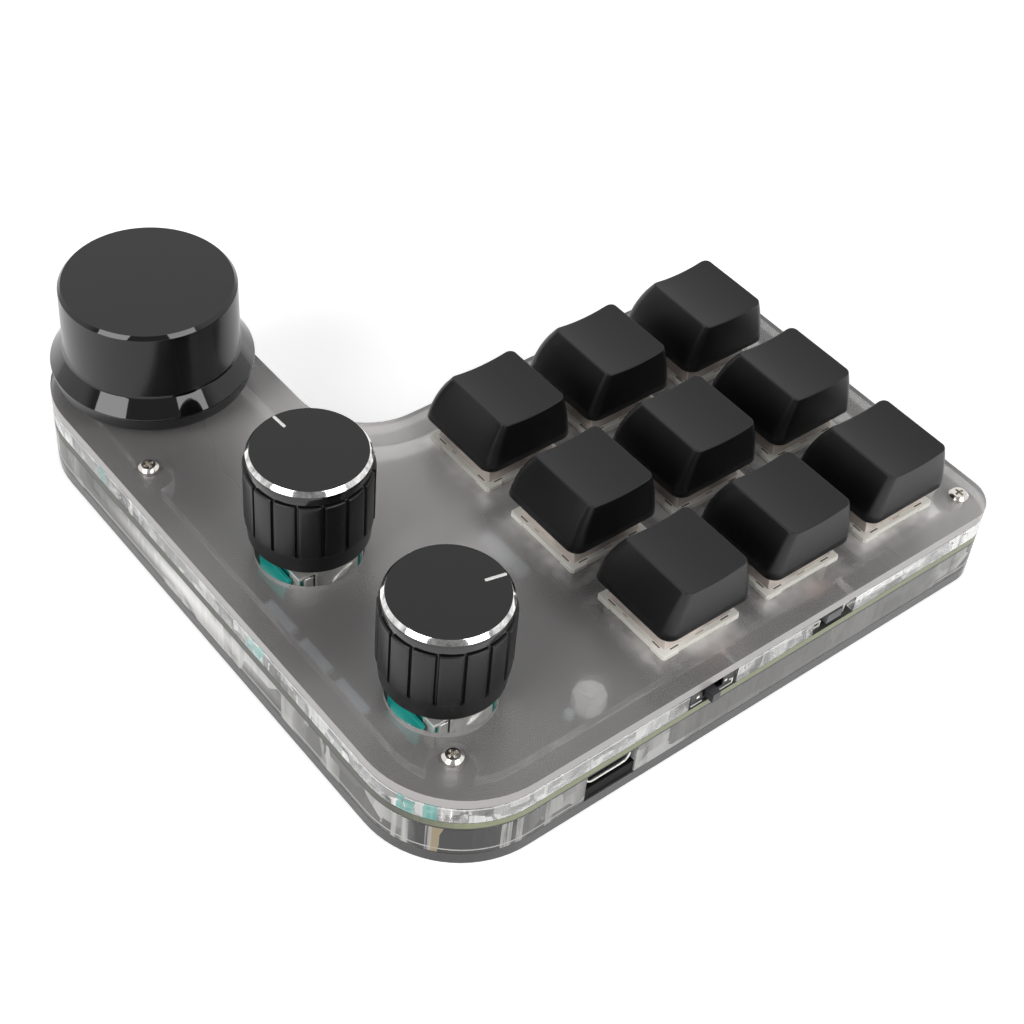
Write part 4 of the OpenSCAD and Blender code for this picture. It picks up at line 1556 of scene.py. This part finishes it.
@dataclass
class SmallKnob:
    """A small knob: fluted skirt, black cap with a polished bevel, spun face and pointer."""

    node: str
    body: str
    pointer_degrees: float
    pointer_length: float
    bottom: float = 4.0 * MM
    foot_radius: float = 9.72 * MM
    band_radius: float = 9.95 * MM
    band_top: float = 7.5 * MM
    radius: float = 10.28 * MM
    skirt_top: float = 18.5 * MM
    groove_count: int = 16
    groove_half: float = 0.26 * MM
    groove_depth: float = 0.5 * MM
    shingle: float = 0.1 * MM
    cap_radius: float = 9.8 * MM
    bevel_foot: float = 20.42 * MM
    face_radius: float = 9.18 * MM
    top: float = 21.2 * MM
    recess_radius: float = 5.9 * MM
    recess_top: float = 8.5 * MM
    face_set_in: float = 0.02 * MM
    pointer_half_width: float = 0.26 * MM
    pointer_rise: float = 0.03 * MM
    pointer_inset: float = 0.05 * MM
    columns_per_groove: int = 16
    cap_columns: int = 160

    def turns(self) -> np.ndarray:
        """Gives angles that crowd round each groove and thin out between.

        Returns:
            The angles in radians, groove by groove.
        """
        period = 2 * math.pi / self.groove_count
        half = self.groove_half / self.radius
        near = np.array([-2.2, -1.25, -1.0, -0.6, 0.0, 0.6, 1.0, 1.25, 2.2]) * half
        between = np.linspace(0.2, 0.8, self.columns_per_groove - len(near)) * period
        one = np.concatenate([near, between])
        return (np.arange(self.groove_count)[:, None] * period + one[None]).ravel()

    def skirt(self) -> np.ndarray:
        """Gives the fluted skirt.

        The radius of a row is drawn in at each groove by the groove's depth times a smooth
        trapezium of the distance from the groove's middle, faded out below the flutes. Each
        flute leans like a shingle: its radius falls evenly from one groove to the next.

        Returns:
            A (rows, columns, 3) grid.
        """
        profile = rounded_profile([
            (self.recess_radius, self.recess_top, 0), (self.recess_radius, self.bottom, 0.15 * MM),
            (self.foot_radius, self.bottom, 0.3 * MM), (self.band_radius, self.band_top, 0.1 * MM),
            (self.radius, self.band_top + 0.25 * MM, 0.12 * MM),
            (self.radius, self.band_top + 1.5 * MM, 0), (self.radius, self.skirt_top - 1.2 * MM, 0),
            (self.radius, self.skirt_top, 0.35 * MM), (self.cap_radius - 0.6 * MM, self.skirt_top, 0),
        ])
        profile = np.vstack([[0.0, self.recess_top], profile, [0.0, self.skirt_top]])
        turns = self.turns()
        grid = lathe(profile, np.zeros(3), turns)
        period = 2 * math.pi / self.groove_count
        phase = (turns + period / 2) % period - period / 2
        distance = np.abs(phase) * self.radius
        inside = 1 - smooth_step(distance, 0.8 * self.groove_half, 1.35 * self.groove_half)
        lean = self.shingle * ((turns % period) / period)
        above_band = profile[:, 1] > self.band_top + 0.1 * MM
        fluted = above_band & (profile[:, 0] > self.cap_radius - 0.1 * MM)
        drawn = fluted[:, None] * (self.groove_depth * inside + lean)[None]
        radius = np.maximum(profile[:, :1] - drawn, 0.0)
        scale = np.where(profile[:, :1] > 0, radius / np.maximum(profile[:, :1], 1e-9), 1.0)
        grid[..., :2] *= scale[..., None]
        return grid

    def cap(self) -> tuple[np.ndarray, np.ndarray]:
        """Gives the cap above the skirt.

        Returns:
            The grid, and for each row of faces the material: 0 band, 1 bevel, 2 face.
        """
        start = self.skirt_top - self.face_set_in
        bevel_rise = self.top - self.bevel_foot
        face = self.top - self.face_set_in
        band = rounded_profile([
            (self.cap_radius - 0.3 * MM, start, 0), (self.cap_radius, start + 0.25 * MM, 0.1 * MM),
            (self.cap_radius, self.bevel_foot - 0.35 * MM, 0.3 * MM),
            (self.cap_radius - 0.08 * MM, self.bevel_foot, 0)], 6)
        profile = np.vstack([
            [0.0, start], band,
            [self.cap_radius - 0.1 * MM, self.bevel_foot + 0.02 * MM],
            [self.face_radius + 0.06 * MM, self.top - 0.06 * bevel_rise],
            [self.face_radius, self.top],
            [self.face_radius - 0.04 * MM, face],
            [self.face_radius * 0.6, face], [self.face_radius * 0.25, face], [0.0, face],
        ])
        radii, heights = ((profile[1:] + profile[:-1]) / 2).T
        kind = np.where(heights > self.bevel_foot, 1, 0)
        kind[(radii < self.face_radius - 0.001 * MM) & (heights > self.bevel_foot)] = 2
        return lathe(profile, np.zeros(3), round_turns(self.cap_columns)), kind

    def pointer(self) -> np.ndarray:
        """Gives the pointer: a thin bar with round ends, laid on the face out to its rim.

        A point of the flat bar is turned by the pointer's angle a about the knob's axis:
        x = along cos a - across sin a and y = along sin a + across cos a.

        Returns:
            A (rows, columns, 3) grid.
        """
        half_length, half_width = self.pointer_length / 2, self.pointer_half_width
        rise = self.pointer_rise
        heights = np.array([-rise, -rise, rise * 0.7, rise, rise])
        share = np.array([0.0, 1.0, 1.0, 0.92, 0.0])
        sizes = (np.full(5, size) for size in (half_length, half_width, half_width * 0.9))
        flat = rounded_rectangle(*sizes) * share[:, None, None]
        turn = math.radians(self.pointer_degrees)
        along = flat[..., 0] + self.face_radius - half_length - self.pointer_inset
        x = along * math.cos(turn) - flat[..., 1] * math.sin(turn)
        y = along * math.sin(turn) + flat[..., 1] * math.cos(turn)
        z = self.top + np.broadcast_to(heights[:, None], x.shape) - self.face_set_in / 2
        return np.stack([x, y, z], axis=-1)

    def build(self, plastic: Material, gloss: Material,
              chrome: Material, white: Material) -> None:
        """Makes the knob's pieces and dresses them.

        Args:
            plastic: Skirt.
            gloss: Band under the bevel.
            chrome: Polished bevel.
            white: Pointer.
        """
        foot = foot_of(self.node)
        skirt = grid_piece(self.node + "_skirt", self.skirt() + foot)
        shade_by_angle(skirt, 30)
        dress(skirt, plastic)
        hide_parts(self.node)
        grid, kind = self.cap()
        cap = grid_piece(self.node + "_cap_turned", grid + foot)
        shade_by_angle(cap, 22)
        name = self.node + "_face_finish"
        face = SpunFace(name, tuple(foot.tolist()), (0.0035, 0.0035, 0.0042)).build()
        dress(cap, gloss, chrome, face)
        paint_rows(cap, grid + foot, kind)
        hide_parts(self.node + "_cap")
        pointer = grid_piece(self.node + "_pointer", self.pointer() + foot)
        shade_by_angle(pointer)
        dress(pointer, white)
        for piece in (skirt, cap, pointer):
            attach(piece, self.body)
        LOG.info("knob %s", self.node)


def paint_rows(piece: Piece, grid: np.ndarray, kind: np.ndarray) -> None:
    """Gives each face the material of the grid row it came from.

    A face belongs to the row of faces whose middle height and middle distance from the axis lie
    nearest to its own.

    Args:
        piece: Lathe piece made from grid.
        grid: (rows, columns, 3) points.
        kind: (rows - 1,) material number of each row of faces.
    """
    axis = grid[0, 0, :2]
    radius = np.linalg.norm(grid[:, 0, :2] - axis, axis=1)
    middle = np.column_stack([(radius[1:] + radius[:-1]) / 2, (grid[1:, 0, 2] + grid[:-1, 0, 2]) / 2])
    mesh = piece.data
    centres = np.empty(len(mesh.polygons) * 3)
    mesh.polygons.foreach_get("center", centres)
    centres = centres.reshape(-1, 3)
    own = np.column_stack([np.linalg.norm(centres[:, :2] - axis, axis=1), centres[:, 2]])
    nearest = np.argmin(((own[:, None] - middle[None]) ** 2).sum(axis=2), axis=1)
    mesh.polygons.foreach_set("material_index", kind[nearest].astype(np.int32))


@dataclass
class BigKnob:
    """The large knob: a turned body on a polished cone, all black."""

    node: str = "big_knob"
    body: str = "big_knob_body"
    foot: float = 3.0
    recess_radius: float = 11.8
    recess_top: float = 8.5
    skirt_radius: float = 17.1
    skirt_foot: float = 5.75
    cone_top: float = 8.75
    top: float = 21.5
    face: float = 21.48
    face_radius: float = 14.05
    columns: int = 224

    def profile(self) -> tuple[np.ndarray, np.ndarray]:
        """Gives the knob's profile, worked out in millimetres as the sizes of this class are.

        Returns:
            The (n, 2) profile in metres and the material of each row of faces: 0 satin side, 1
            polished cone and chamfer, 2 spun face, 3 matt foot.
        """
        corners = [
            (self.recess_radius, self.recess_top, 0), (self.recess_radius, self.foot, 0.2),
            (self.skirt_radius - 0.75, self.foot, 0.25), (self.skirt_radius, self.skirt_foot, 0.12),
            (self.skirt_radius, self.skirt_foot + 0.25, 0.1), (14.95, self.cone_top, 0.35),
            (14.8, self.cone_top + 0.35, 0.15), (14.66, self.top - 0.65, 0.08),
            (self.face_radius + 0.05, self.top, 0.06), (self.face_radius, self.face, 0),
        ]
        points = rounded_profile([(r * MM, z * MM, c * MM) for r, z, c in corners], 6)
        inner = np.array([[9.0, self.face], [4.0, self.face], [0.0, self.face]]) * MM
        points = np.vstack([[0.0, self.recess_top * MM], points, inner])
        radii, heights = ((points[1:] + points[:-1]) / 2 / MM).T
        kind = np.zeros(len(radii), int)
        kind[(heights > self.skirt_foot - 0.05) & (heights < self.cone_top + 0.2)] = 1
        kind[heights > self.top - 0.62] = 1
        kind[(heights > self.top - 0.1) & (radii < self.face_radius + 0.03)] = 2
        kind[heights < self.skirt_foot - 0.05] = 3
        within = radii < self.recess_radius + 0.2
        kind[within] = np.where(heights[within] > self.top - 0.5, 2, 3)
        return points, kind

    def build(self) -> None:
        """Makes the knob and dresses it."""
        foot = foot_of(self.node)
        profile, kind = self.profile()
        grid = lathe(profile, foot, round_turns(self.columns))
        piece = grid_piece(self.node + "_turned", grid)
        shade_by_angle(piece, 20)
        black = (0.003, 0.003, 0.0034)
        satin = Moulded("anodised_side", black, 0.2, grain=0.003 * MM, ior=1.45).build()
        polish = Moulded("polished_black", black, 0.04, grain=0.0005 * MM, ior=1.52).build()
        face = SpunFace("anodised_face", tuple(foot.tolist()), (0.008, 0.008, 0.009)).build()
        matt = Moulded("matt_foot", (0.012, 0.012, 0.013)).build()
        dress(piece, satin, polish, face, matt)
        paint_rows(piece, grid, kind)
        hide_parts(self.node)
        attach(piece, self.body)
        LOG.info("knob %s", self.node)


@dataclass
class Knobs:
    """The two small knobs, the large one and the encoders that carry them."""

    ridge_middle: Vec = (2.2, -6.1, -2.2)
    ridge_half: Pair = (2.3, 0.75)
    ridge_rise: float = 0.42
    ridge_tilt: float = math.radians(32.0)
    wafer_lean: float = 0.3

    def build(self) -> None:
        """Makes the knobs and dresses the encoders."""
        black = (0.003, 0.003, 0.0034)
        plastic = Moulded("knob_plastic", black, 0.33, grain=0.008 * MM, ior=1.42).build()
        gloss = Moulded("knob_gloss", black, 0.15, grain=0.001 * MM, coat=0.3, ior=1.45).build()
        # Painted dark reflection specks: the strong darkening of the wear pattern on the chrome bevel.
        chrome = Metal("polished_bevel", (0.93, 0.92, 0.91), 0.09, 0.008 * MM, wear_and_dark_reflections=0.45).build()
        white = Moulded("pointer_white", (0.82, 0.82, 0.8), 0.5).build()
        for node, degrees, length in (("middle_knob", 93.0, 3.0 * MM), ("front_knob", -13.0, 3.5 * MM)):
            SmallKnob(node, node + "_body", degrees, length).build(plastic, gloss, chrome, white)
        BigKnob().build()
        teal = Moulded("teal_base", (0.0, 0.3, 0.26), 0.4).build()
        sheet = Metal("encoder_sheet", (0.86, 0.85, 0.82), 0.3, metallic=0.6).build()
        rotor = Moulded("rotor_plastic", (0.02, 0.02, 0.02), 0.5).build()
        softened("encoder_bases", 0.1 * MM, teal)
        softened("encoder_cases", 0.1 * MM, sheet)
        for number in (1, 2, 3):
            dress(frame["nodes"][f"rotor_{number}"], rotor)
            dress(frame["nodes"][f"shaft_{number}"], sheet)
        self.encoder_details(teal, sheet, rotor, white)

    def ridge(self) -> np.ndarray:
        """Gives the pressed ridge of an encoder's case: half of a flattened ball, turned by tilt.

        For a rise r and a turn a, along = half length cos r cos a and across = half width
        cos r sin a lie in the case's front, and the ridge stands out of it by sin r.

        Returns:
            A (rows, columns, 3) grid in millimetres from the knob's foot.
        """
        turns = round_turns(28)
        rise = np.linspace(0.0, math.pi / 2, 7)[:, None]
        along = self.ridge_half[0] * np.cos(rise) * np.cos(turns)
        across = self.ridge_half[1] * np.cos(rise) * np.sin(turns)
        x, y, z = self.ridge_middle
        cos, sin = math.cos(self.ridge_tilt), math.sin(self.ridge_tilt)
        dome = np.stack([x + along * cos - across * sin,
                         y - self.ridge_rise * np.sin(rise) + 0.0 * along,
                         z + along * sin + across * cos], axis=-1)
        return np.concatenate([dome.mean(axis=1, keepdims=True)[:1] + 0.0 * dome[:1], dome])

    def encoder_details(self, teal: Material, sheet: Material, rotor: Material,
                        white: Material) -> None:
        """Adds what each encoder shows in its well: bent corner, slit, pressed ridge and wafer.

        The wafer is a box whose points lean outwards with depth: x = x - lean (top - z).

        Args:
            teal: Plastic of the wafer.
            sheet: Metal of the case.
            rotor: Inside of the slit.
            white: Mark on the wafer.
        """
        bends, slits, wafers, marks = [], [], [], []
        for node in ("front_knob", "middle_knob", "big_knob"):
            foot = foot_of(node)
            box = partial(box_from, foot)
            bends += [box((-6.12, -5.85), (-6.1, -3.4), (-5.3, 0.9)),
                      box((5.85, 6.12), (-6.1, -4.6), (-5.3, 0.9)),
                      box((-3.1, -2.75), (-6.3, -6.05), (-5.3, 0.6)),
                      box((-4.9, -3.5), (-6.22, -6.05), (-5.3, 0.4))]
            slits += [box((-3.5, -3.1), (-6.16, -6.08), (-5.2, 0.3)),
                      box((-4.0, -2.8), (-6.18, -6.08), (0.0, 0.6))]
            wafers.append(box((-7.0, -6.35), (-4.6, 2.6), (-4.4, -0.1)))
            marks.append(box((-7.12, -6.9), (-2.9, -2.0), (-1.9, -1.5)))
            ridge = grid_piece(node + "_case_ridge", self.ridge() * MM + foot)
            dress(ridge, sheet)
            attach(ridge, "case")
        small_boxes("encoder_bends", bends, 0.06 * MM, sheet)
        small_boxes("encoder_slits", slits, 0.01 * MM, rotor)
        for name, boxes, material in (("encoder_wafers", wafers, teal),
                                      ("encoder_marks", marks, white)):
            verts = small_boxes(name, boxes, 0.08 * MM, material).data.vertices
            points = np.empty((len(verts), 3))
            verts.foreach_get("co", points.ravel())
            points[:, 0] -= self.wafer_lean * (TOP_Z - points[:, 2])
            verts.foreach_set("co", points.ravel())
        LOG.info("encoder details")


@dataclass
class Ports:
    """The USB socket, the slide switch, the side button and the parts on the board."""

    rounding: float = 0.08 * MM
    slide: float = 53.15
    button: float = 79.45
    usb: float = 33.2
    board_top: float = 11.02
    plug_half: Vec = (0.86, 0.86, 0.6)
    plug_depth: float = 0.8 * MM
    rim_place: Pair = (0.86, 7.77)
    rim_half: Pair = (4.32 * MM, 1.48 * MM)
    rim_corner: float = 1.44 * MM
    rim_wire: float = 0.16 * MM

    def build(self) -> None:
        """Rounds and dresses the parts."""
        steel = Metal("port_steel", (0.72, 0.71, 0.69), 0.22).build()
        black = Moulded("port_black", (0.006, 0.006, 0.0065), 0.4, ior=1.45).build()
        grey = Moulded("plunger_grey", (0.07, 0.07, 0.074)).build()
        lever = Moulded("lever_grey", (0.022, 0.022, 0.026), 0.4).build()
        white = Moulded("socket_white", (0.95, 0.94, 0.92)).build()
        blue = Moulded("part_blue_grey", (0.55, 0.62, 0.68)).build()
        for node, material in (("usb_shell", steel), ("usb_tongue", black),
                               ("slide_switch_case", black), ("slide_switch_lever", lever),
                               ("side_button_case", black),
                               ("side_button_plunger", grey), ("controller_chip", black),
                               ("white_socket", white), ("board_parts", blue)):
            softened(node, self.rounding, material)
            LOG.info("port part %s", node)
        self.trims(white)

    def trims(self, white: Material) -> None:
        """Adds the bright bits of the ports, near-black boxes round the USB shell that paint the shade
        in its opening, and the socket's plug.

        Args:
            white: Plastic of the plug.
        """
        box = partial(box_from, CASE_CORNER)
        slide, button, usb, board_top = self.slide, self.button, self.usb, self.board_top
        steel = Metal("trim_steel", (0.95, 0.94, 0.92), metallic=0.5, wear_and_dark_reflections=0.9).build()
        bits = [box((slide - 4.3, slide - 1.9), (0.26, 0.45), (board_top, 11.2)),
                box((slide + 0.6, slide + 4.35), (0.26, 0.45), (board_top, 11.2)),
                box((slide + 4.2, slide + 4.42), (0.24, 0.45), (board_top, 12.3)),
                box((slide + 3.6, slide + 4.35), (0.26, 0.45), (12.15, 12.3)),
                box((slide - 3.2, slide - 2.65), (0.3, 0.45), (12.3, 12.8)),
                box((slide + 2.6, slide + 3.1), (0.3, 0.45), (12.5, 12.9)),
                box((button - 4.35, button - 2.3), (0.75, 1.1), (12.3, 12.5)),
                box((button - 2.5, button - 2.3), (0.7, 1.1), (11.1, 12.4)),
                box((button - 4.2, button - 2.4), (0.8, 1.1), (11.05, 11.3)),
                box((button + 3.3, button + 4.25), (0.9, 1.25), (12.7, 13.7)),
                box((button + 3.0, button + 3.3), (0.85, 1.2), (11.1, 13.4))]
        small_boxes("port_trims", bits, 0.03 * MM, steel)
        # Painted shade: near-black boxes below and beside the USB shell, where its opening is dark.
        around = [box((usb - 4.95, usb + 4.95), (0.3, 4.0), (3.44, 5.9)),
                  box((usb - 4.95, usb - 4.5), (1.15, 4.0), (6.05, 9.3)),
                  box((usb + 4.5, usb + 4.95), (1.15, 4.0), (6.05, 9.3))]
        opening_shade_black = Moulded("usb_opening_shade_black", (0.003, 0.003, 0.003), 0.6, grain=0.004 * MM,
                         ior=1.22).build()
        small_boxes("usb_opening_shade", around, 0.05 * MM, opening_shade_black)
        low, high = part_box("white_socket")
        middle = (np.array(low) + np.array(high)) / 2
        middle[2] = high[2] - self.plug_depth
        half = np.array(self.plug_half) * MM
        small_boxes("socket_plug", [(middle - half, middle + half)], 0.1 * MM, white)
        middle = CASE_CORNER + np.array([usb, *self.rim_place]) * MM
        dress(stadium_rim("usb_rim", middle, self.rim_half, self.rim_corner, self.rim_wire), steel)


# ---------------------------------------------------------------------------------------------
# Stage
# ---------------------------------------------------------------------------------------------


@dataclass
class Studio:
    """Pale floor, soft lamps and the camera."""

    camera_place: Vec = (-0.16323, -0.1825, 0.24528)
    azimuth: float = 42.44
    elevation: float = 45.32
    roll: float = 5.855
    lens: float = 69.32
    floor_z: float = 0.0
    floor_size: float = 6.0
    tone: float = 0.93
    lift: float = 0.5
    white_from: Pair = (0.08, 0.2)
    ambient: float = 0.3
    gap_heading: float = math.radians(-127.0)
    gap_level: float = 0.15
    softbox: Pair = (0.4, 0.5)
    left_place: Vec = (-0.657, -0.092, 0.447)
    left_power: float = 3.5
    front_place: Vec = (0.089, -0.633, 0.481)
    front_power: float = 3.1
    aim: Vec = (0.0, 0.0, 0.01)

    def floor(self) -> None:
        """Lays the floor: white where seen from afar, with the object's shadow kept close to it."""
        half, z = self.floor_size / 2, self.floor_z
        mesh = bpy.data.meshes.new("floor")
        mesh.from_pydata([(-half, -half, z), (half, -half, z), (half, half, z), (-half, half, z)],
                         [], [(0, 1, 2, 3)])
        floor = place_in_scene("floor", mesh)
        board = Board("floor_white")
        board.set(Base_Color=(self.tone, self.tone, self.tone, 1.0), Roughness=0.9,
                  Specular_IOR_Level=0.0, Emission_Color=(1.0, 1.0, 1.0, 1.0))
        rays = board.add("LightPath").outputs
        seen = board.math("MAXIMUM", rays["Is Camera Ray"], rays["Is Glossy Ray"],
                          rays["Is Transmission Ray"])
        far = board.span(board.distance(), self.lift, 1.0, *self.white_from, smooth=True)
        board.follow(Emission_Strength=board.math("MULTIPLY", seen, far))
        dress(floor, board.material)

    def world(self) -> None:
        """Sets an even pale surround, white where it is seen, mirrored or seen through.

        Between the two softboxes the studio is dim: mirrored rays that rise toward it find a
        share of the white that falls as their direction nears the heading of that gap.
        """
        world = bpy.data.worlds.new("surround")
        bpy.context.scene.world = world
        world.use_nodes = True
        nodes = Nodes(world.node_tree)
        direction = nodes.add("TexCoord").outputs["Generated"]
        heading = (math.cos(self.gap_heading), math.sin(self.gap_heading), 0.0)
        toward = nodes.vector("DOT_PRODUCT", direction, heading).outputs["Value"]
        rise = nodes.split(direction)[2]
        gap = nodes.math("MULTIPLY", nodes.span(toward, 0.0, 1.0, 0.1, 0.6, smooth=True),
                         nodes.span(rise, 0.0, 1.0, 0.2, 0.36, smooth=True))
        mirrored = nodes.span(gap, 1.0, self.gap_level, smooth=True)
        rays = nodes.add("LightPath").outputs
        glossy = nodes.math("MULTIPLY", rays["Is Glossy Ray"], mirrored)
        level = nodes.math("MAXIMUM", rays["Is Camera Ray"], rays["Is Transmission Ray"], glossy,
                           self.ambient)
        background = world.node_tree.nodes["Background"]
        background.inputs["Color"].default_value = (1.0, 1.0, 1.0, 1.0)
        nodes.link(level, background.inputs["Strength"])

    def lamp(self, name: str, place: Vec, power: float) -> None:
        """Adds a soft rectangular lamp that faces the object.

        Args:
            name: Name of the lamp.
            place: Where it stands.
            power: Its power in watts.
        """
        light = bpy.data.lights.new(name, "AREA")
        light.shape = "RECTANGLE"
        light.size, light.size_y = self.softbox
        light.energy = power
        lamp = place_in_scene(name, light)
        lamp.location = place
        lamp.rotation_euler = (Vector(self.aim) - Vector(place)).to_track_quat("-Z", "Y").to_euler()

    def camera(self) -> None:
        """Sets the camera by its place, heading, tilt and roll."""
        data = bpy.data.cameras.new("camera")
        data.lens = self.lens
        data.sensor_width = 36.0
        data.clip_start = 0.01
        camera = place_in_scene("camera", data)
        turn = (Matrix.Rotation(-math.radians(self.azimuth), 4, "Z")
                @ Matrix.Rotation(math.radians(90.0 - self.elevation), 4, "X")
                @ Matrix.Rotation(math.radians(self.roll), 4, "Z"))
        camera.matrix_world = Matrix.Translation(self.camera_place) @ turn
        bpy.context.scene.camera = camera

    def build(self) -> None:
        """Sets up floor, surround, lamps and camera."""
        bpy.context.scene.view_settings.view_transform = "Standard"
        self.floor()
        self.world()
        self.lamp("left_softbox", self.left_place, self.left_power)
        self.lamp("front_softbox", self.front_place, self.front_power)
        self.camera()


def main() -> None:
    """Builds every sub-assembly in order."""
    logging.basicConfig(level=logging.INFO, format="%(name)s: %(message)s")
    Studio().build()
    for assembly in (Case(), Keys(), Knobs(), Ports()):
        assembly.build()
        LOG.info("%s done", type(assembly).__name__)


if __name__ == "__main__":
    main()
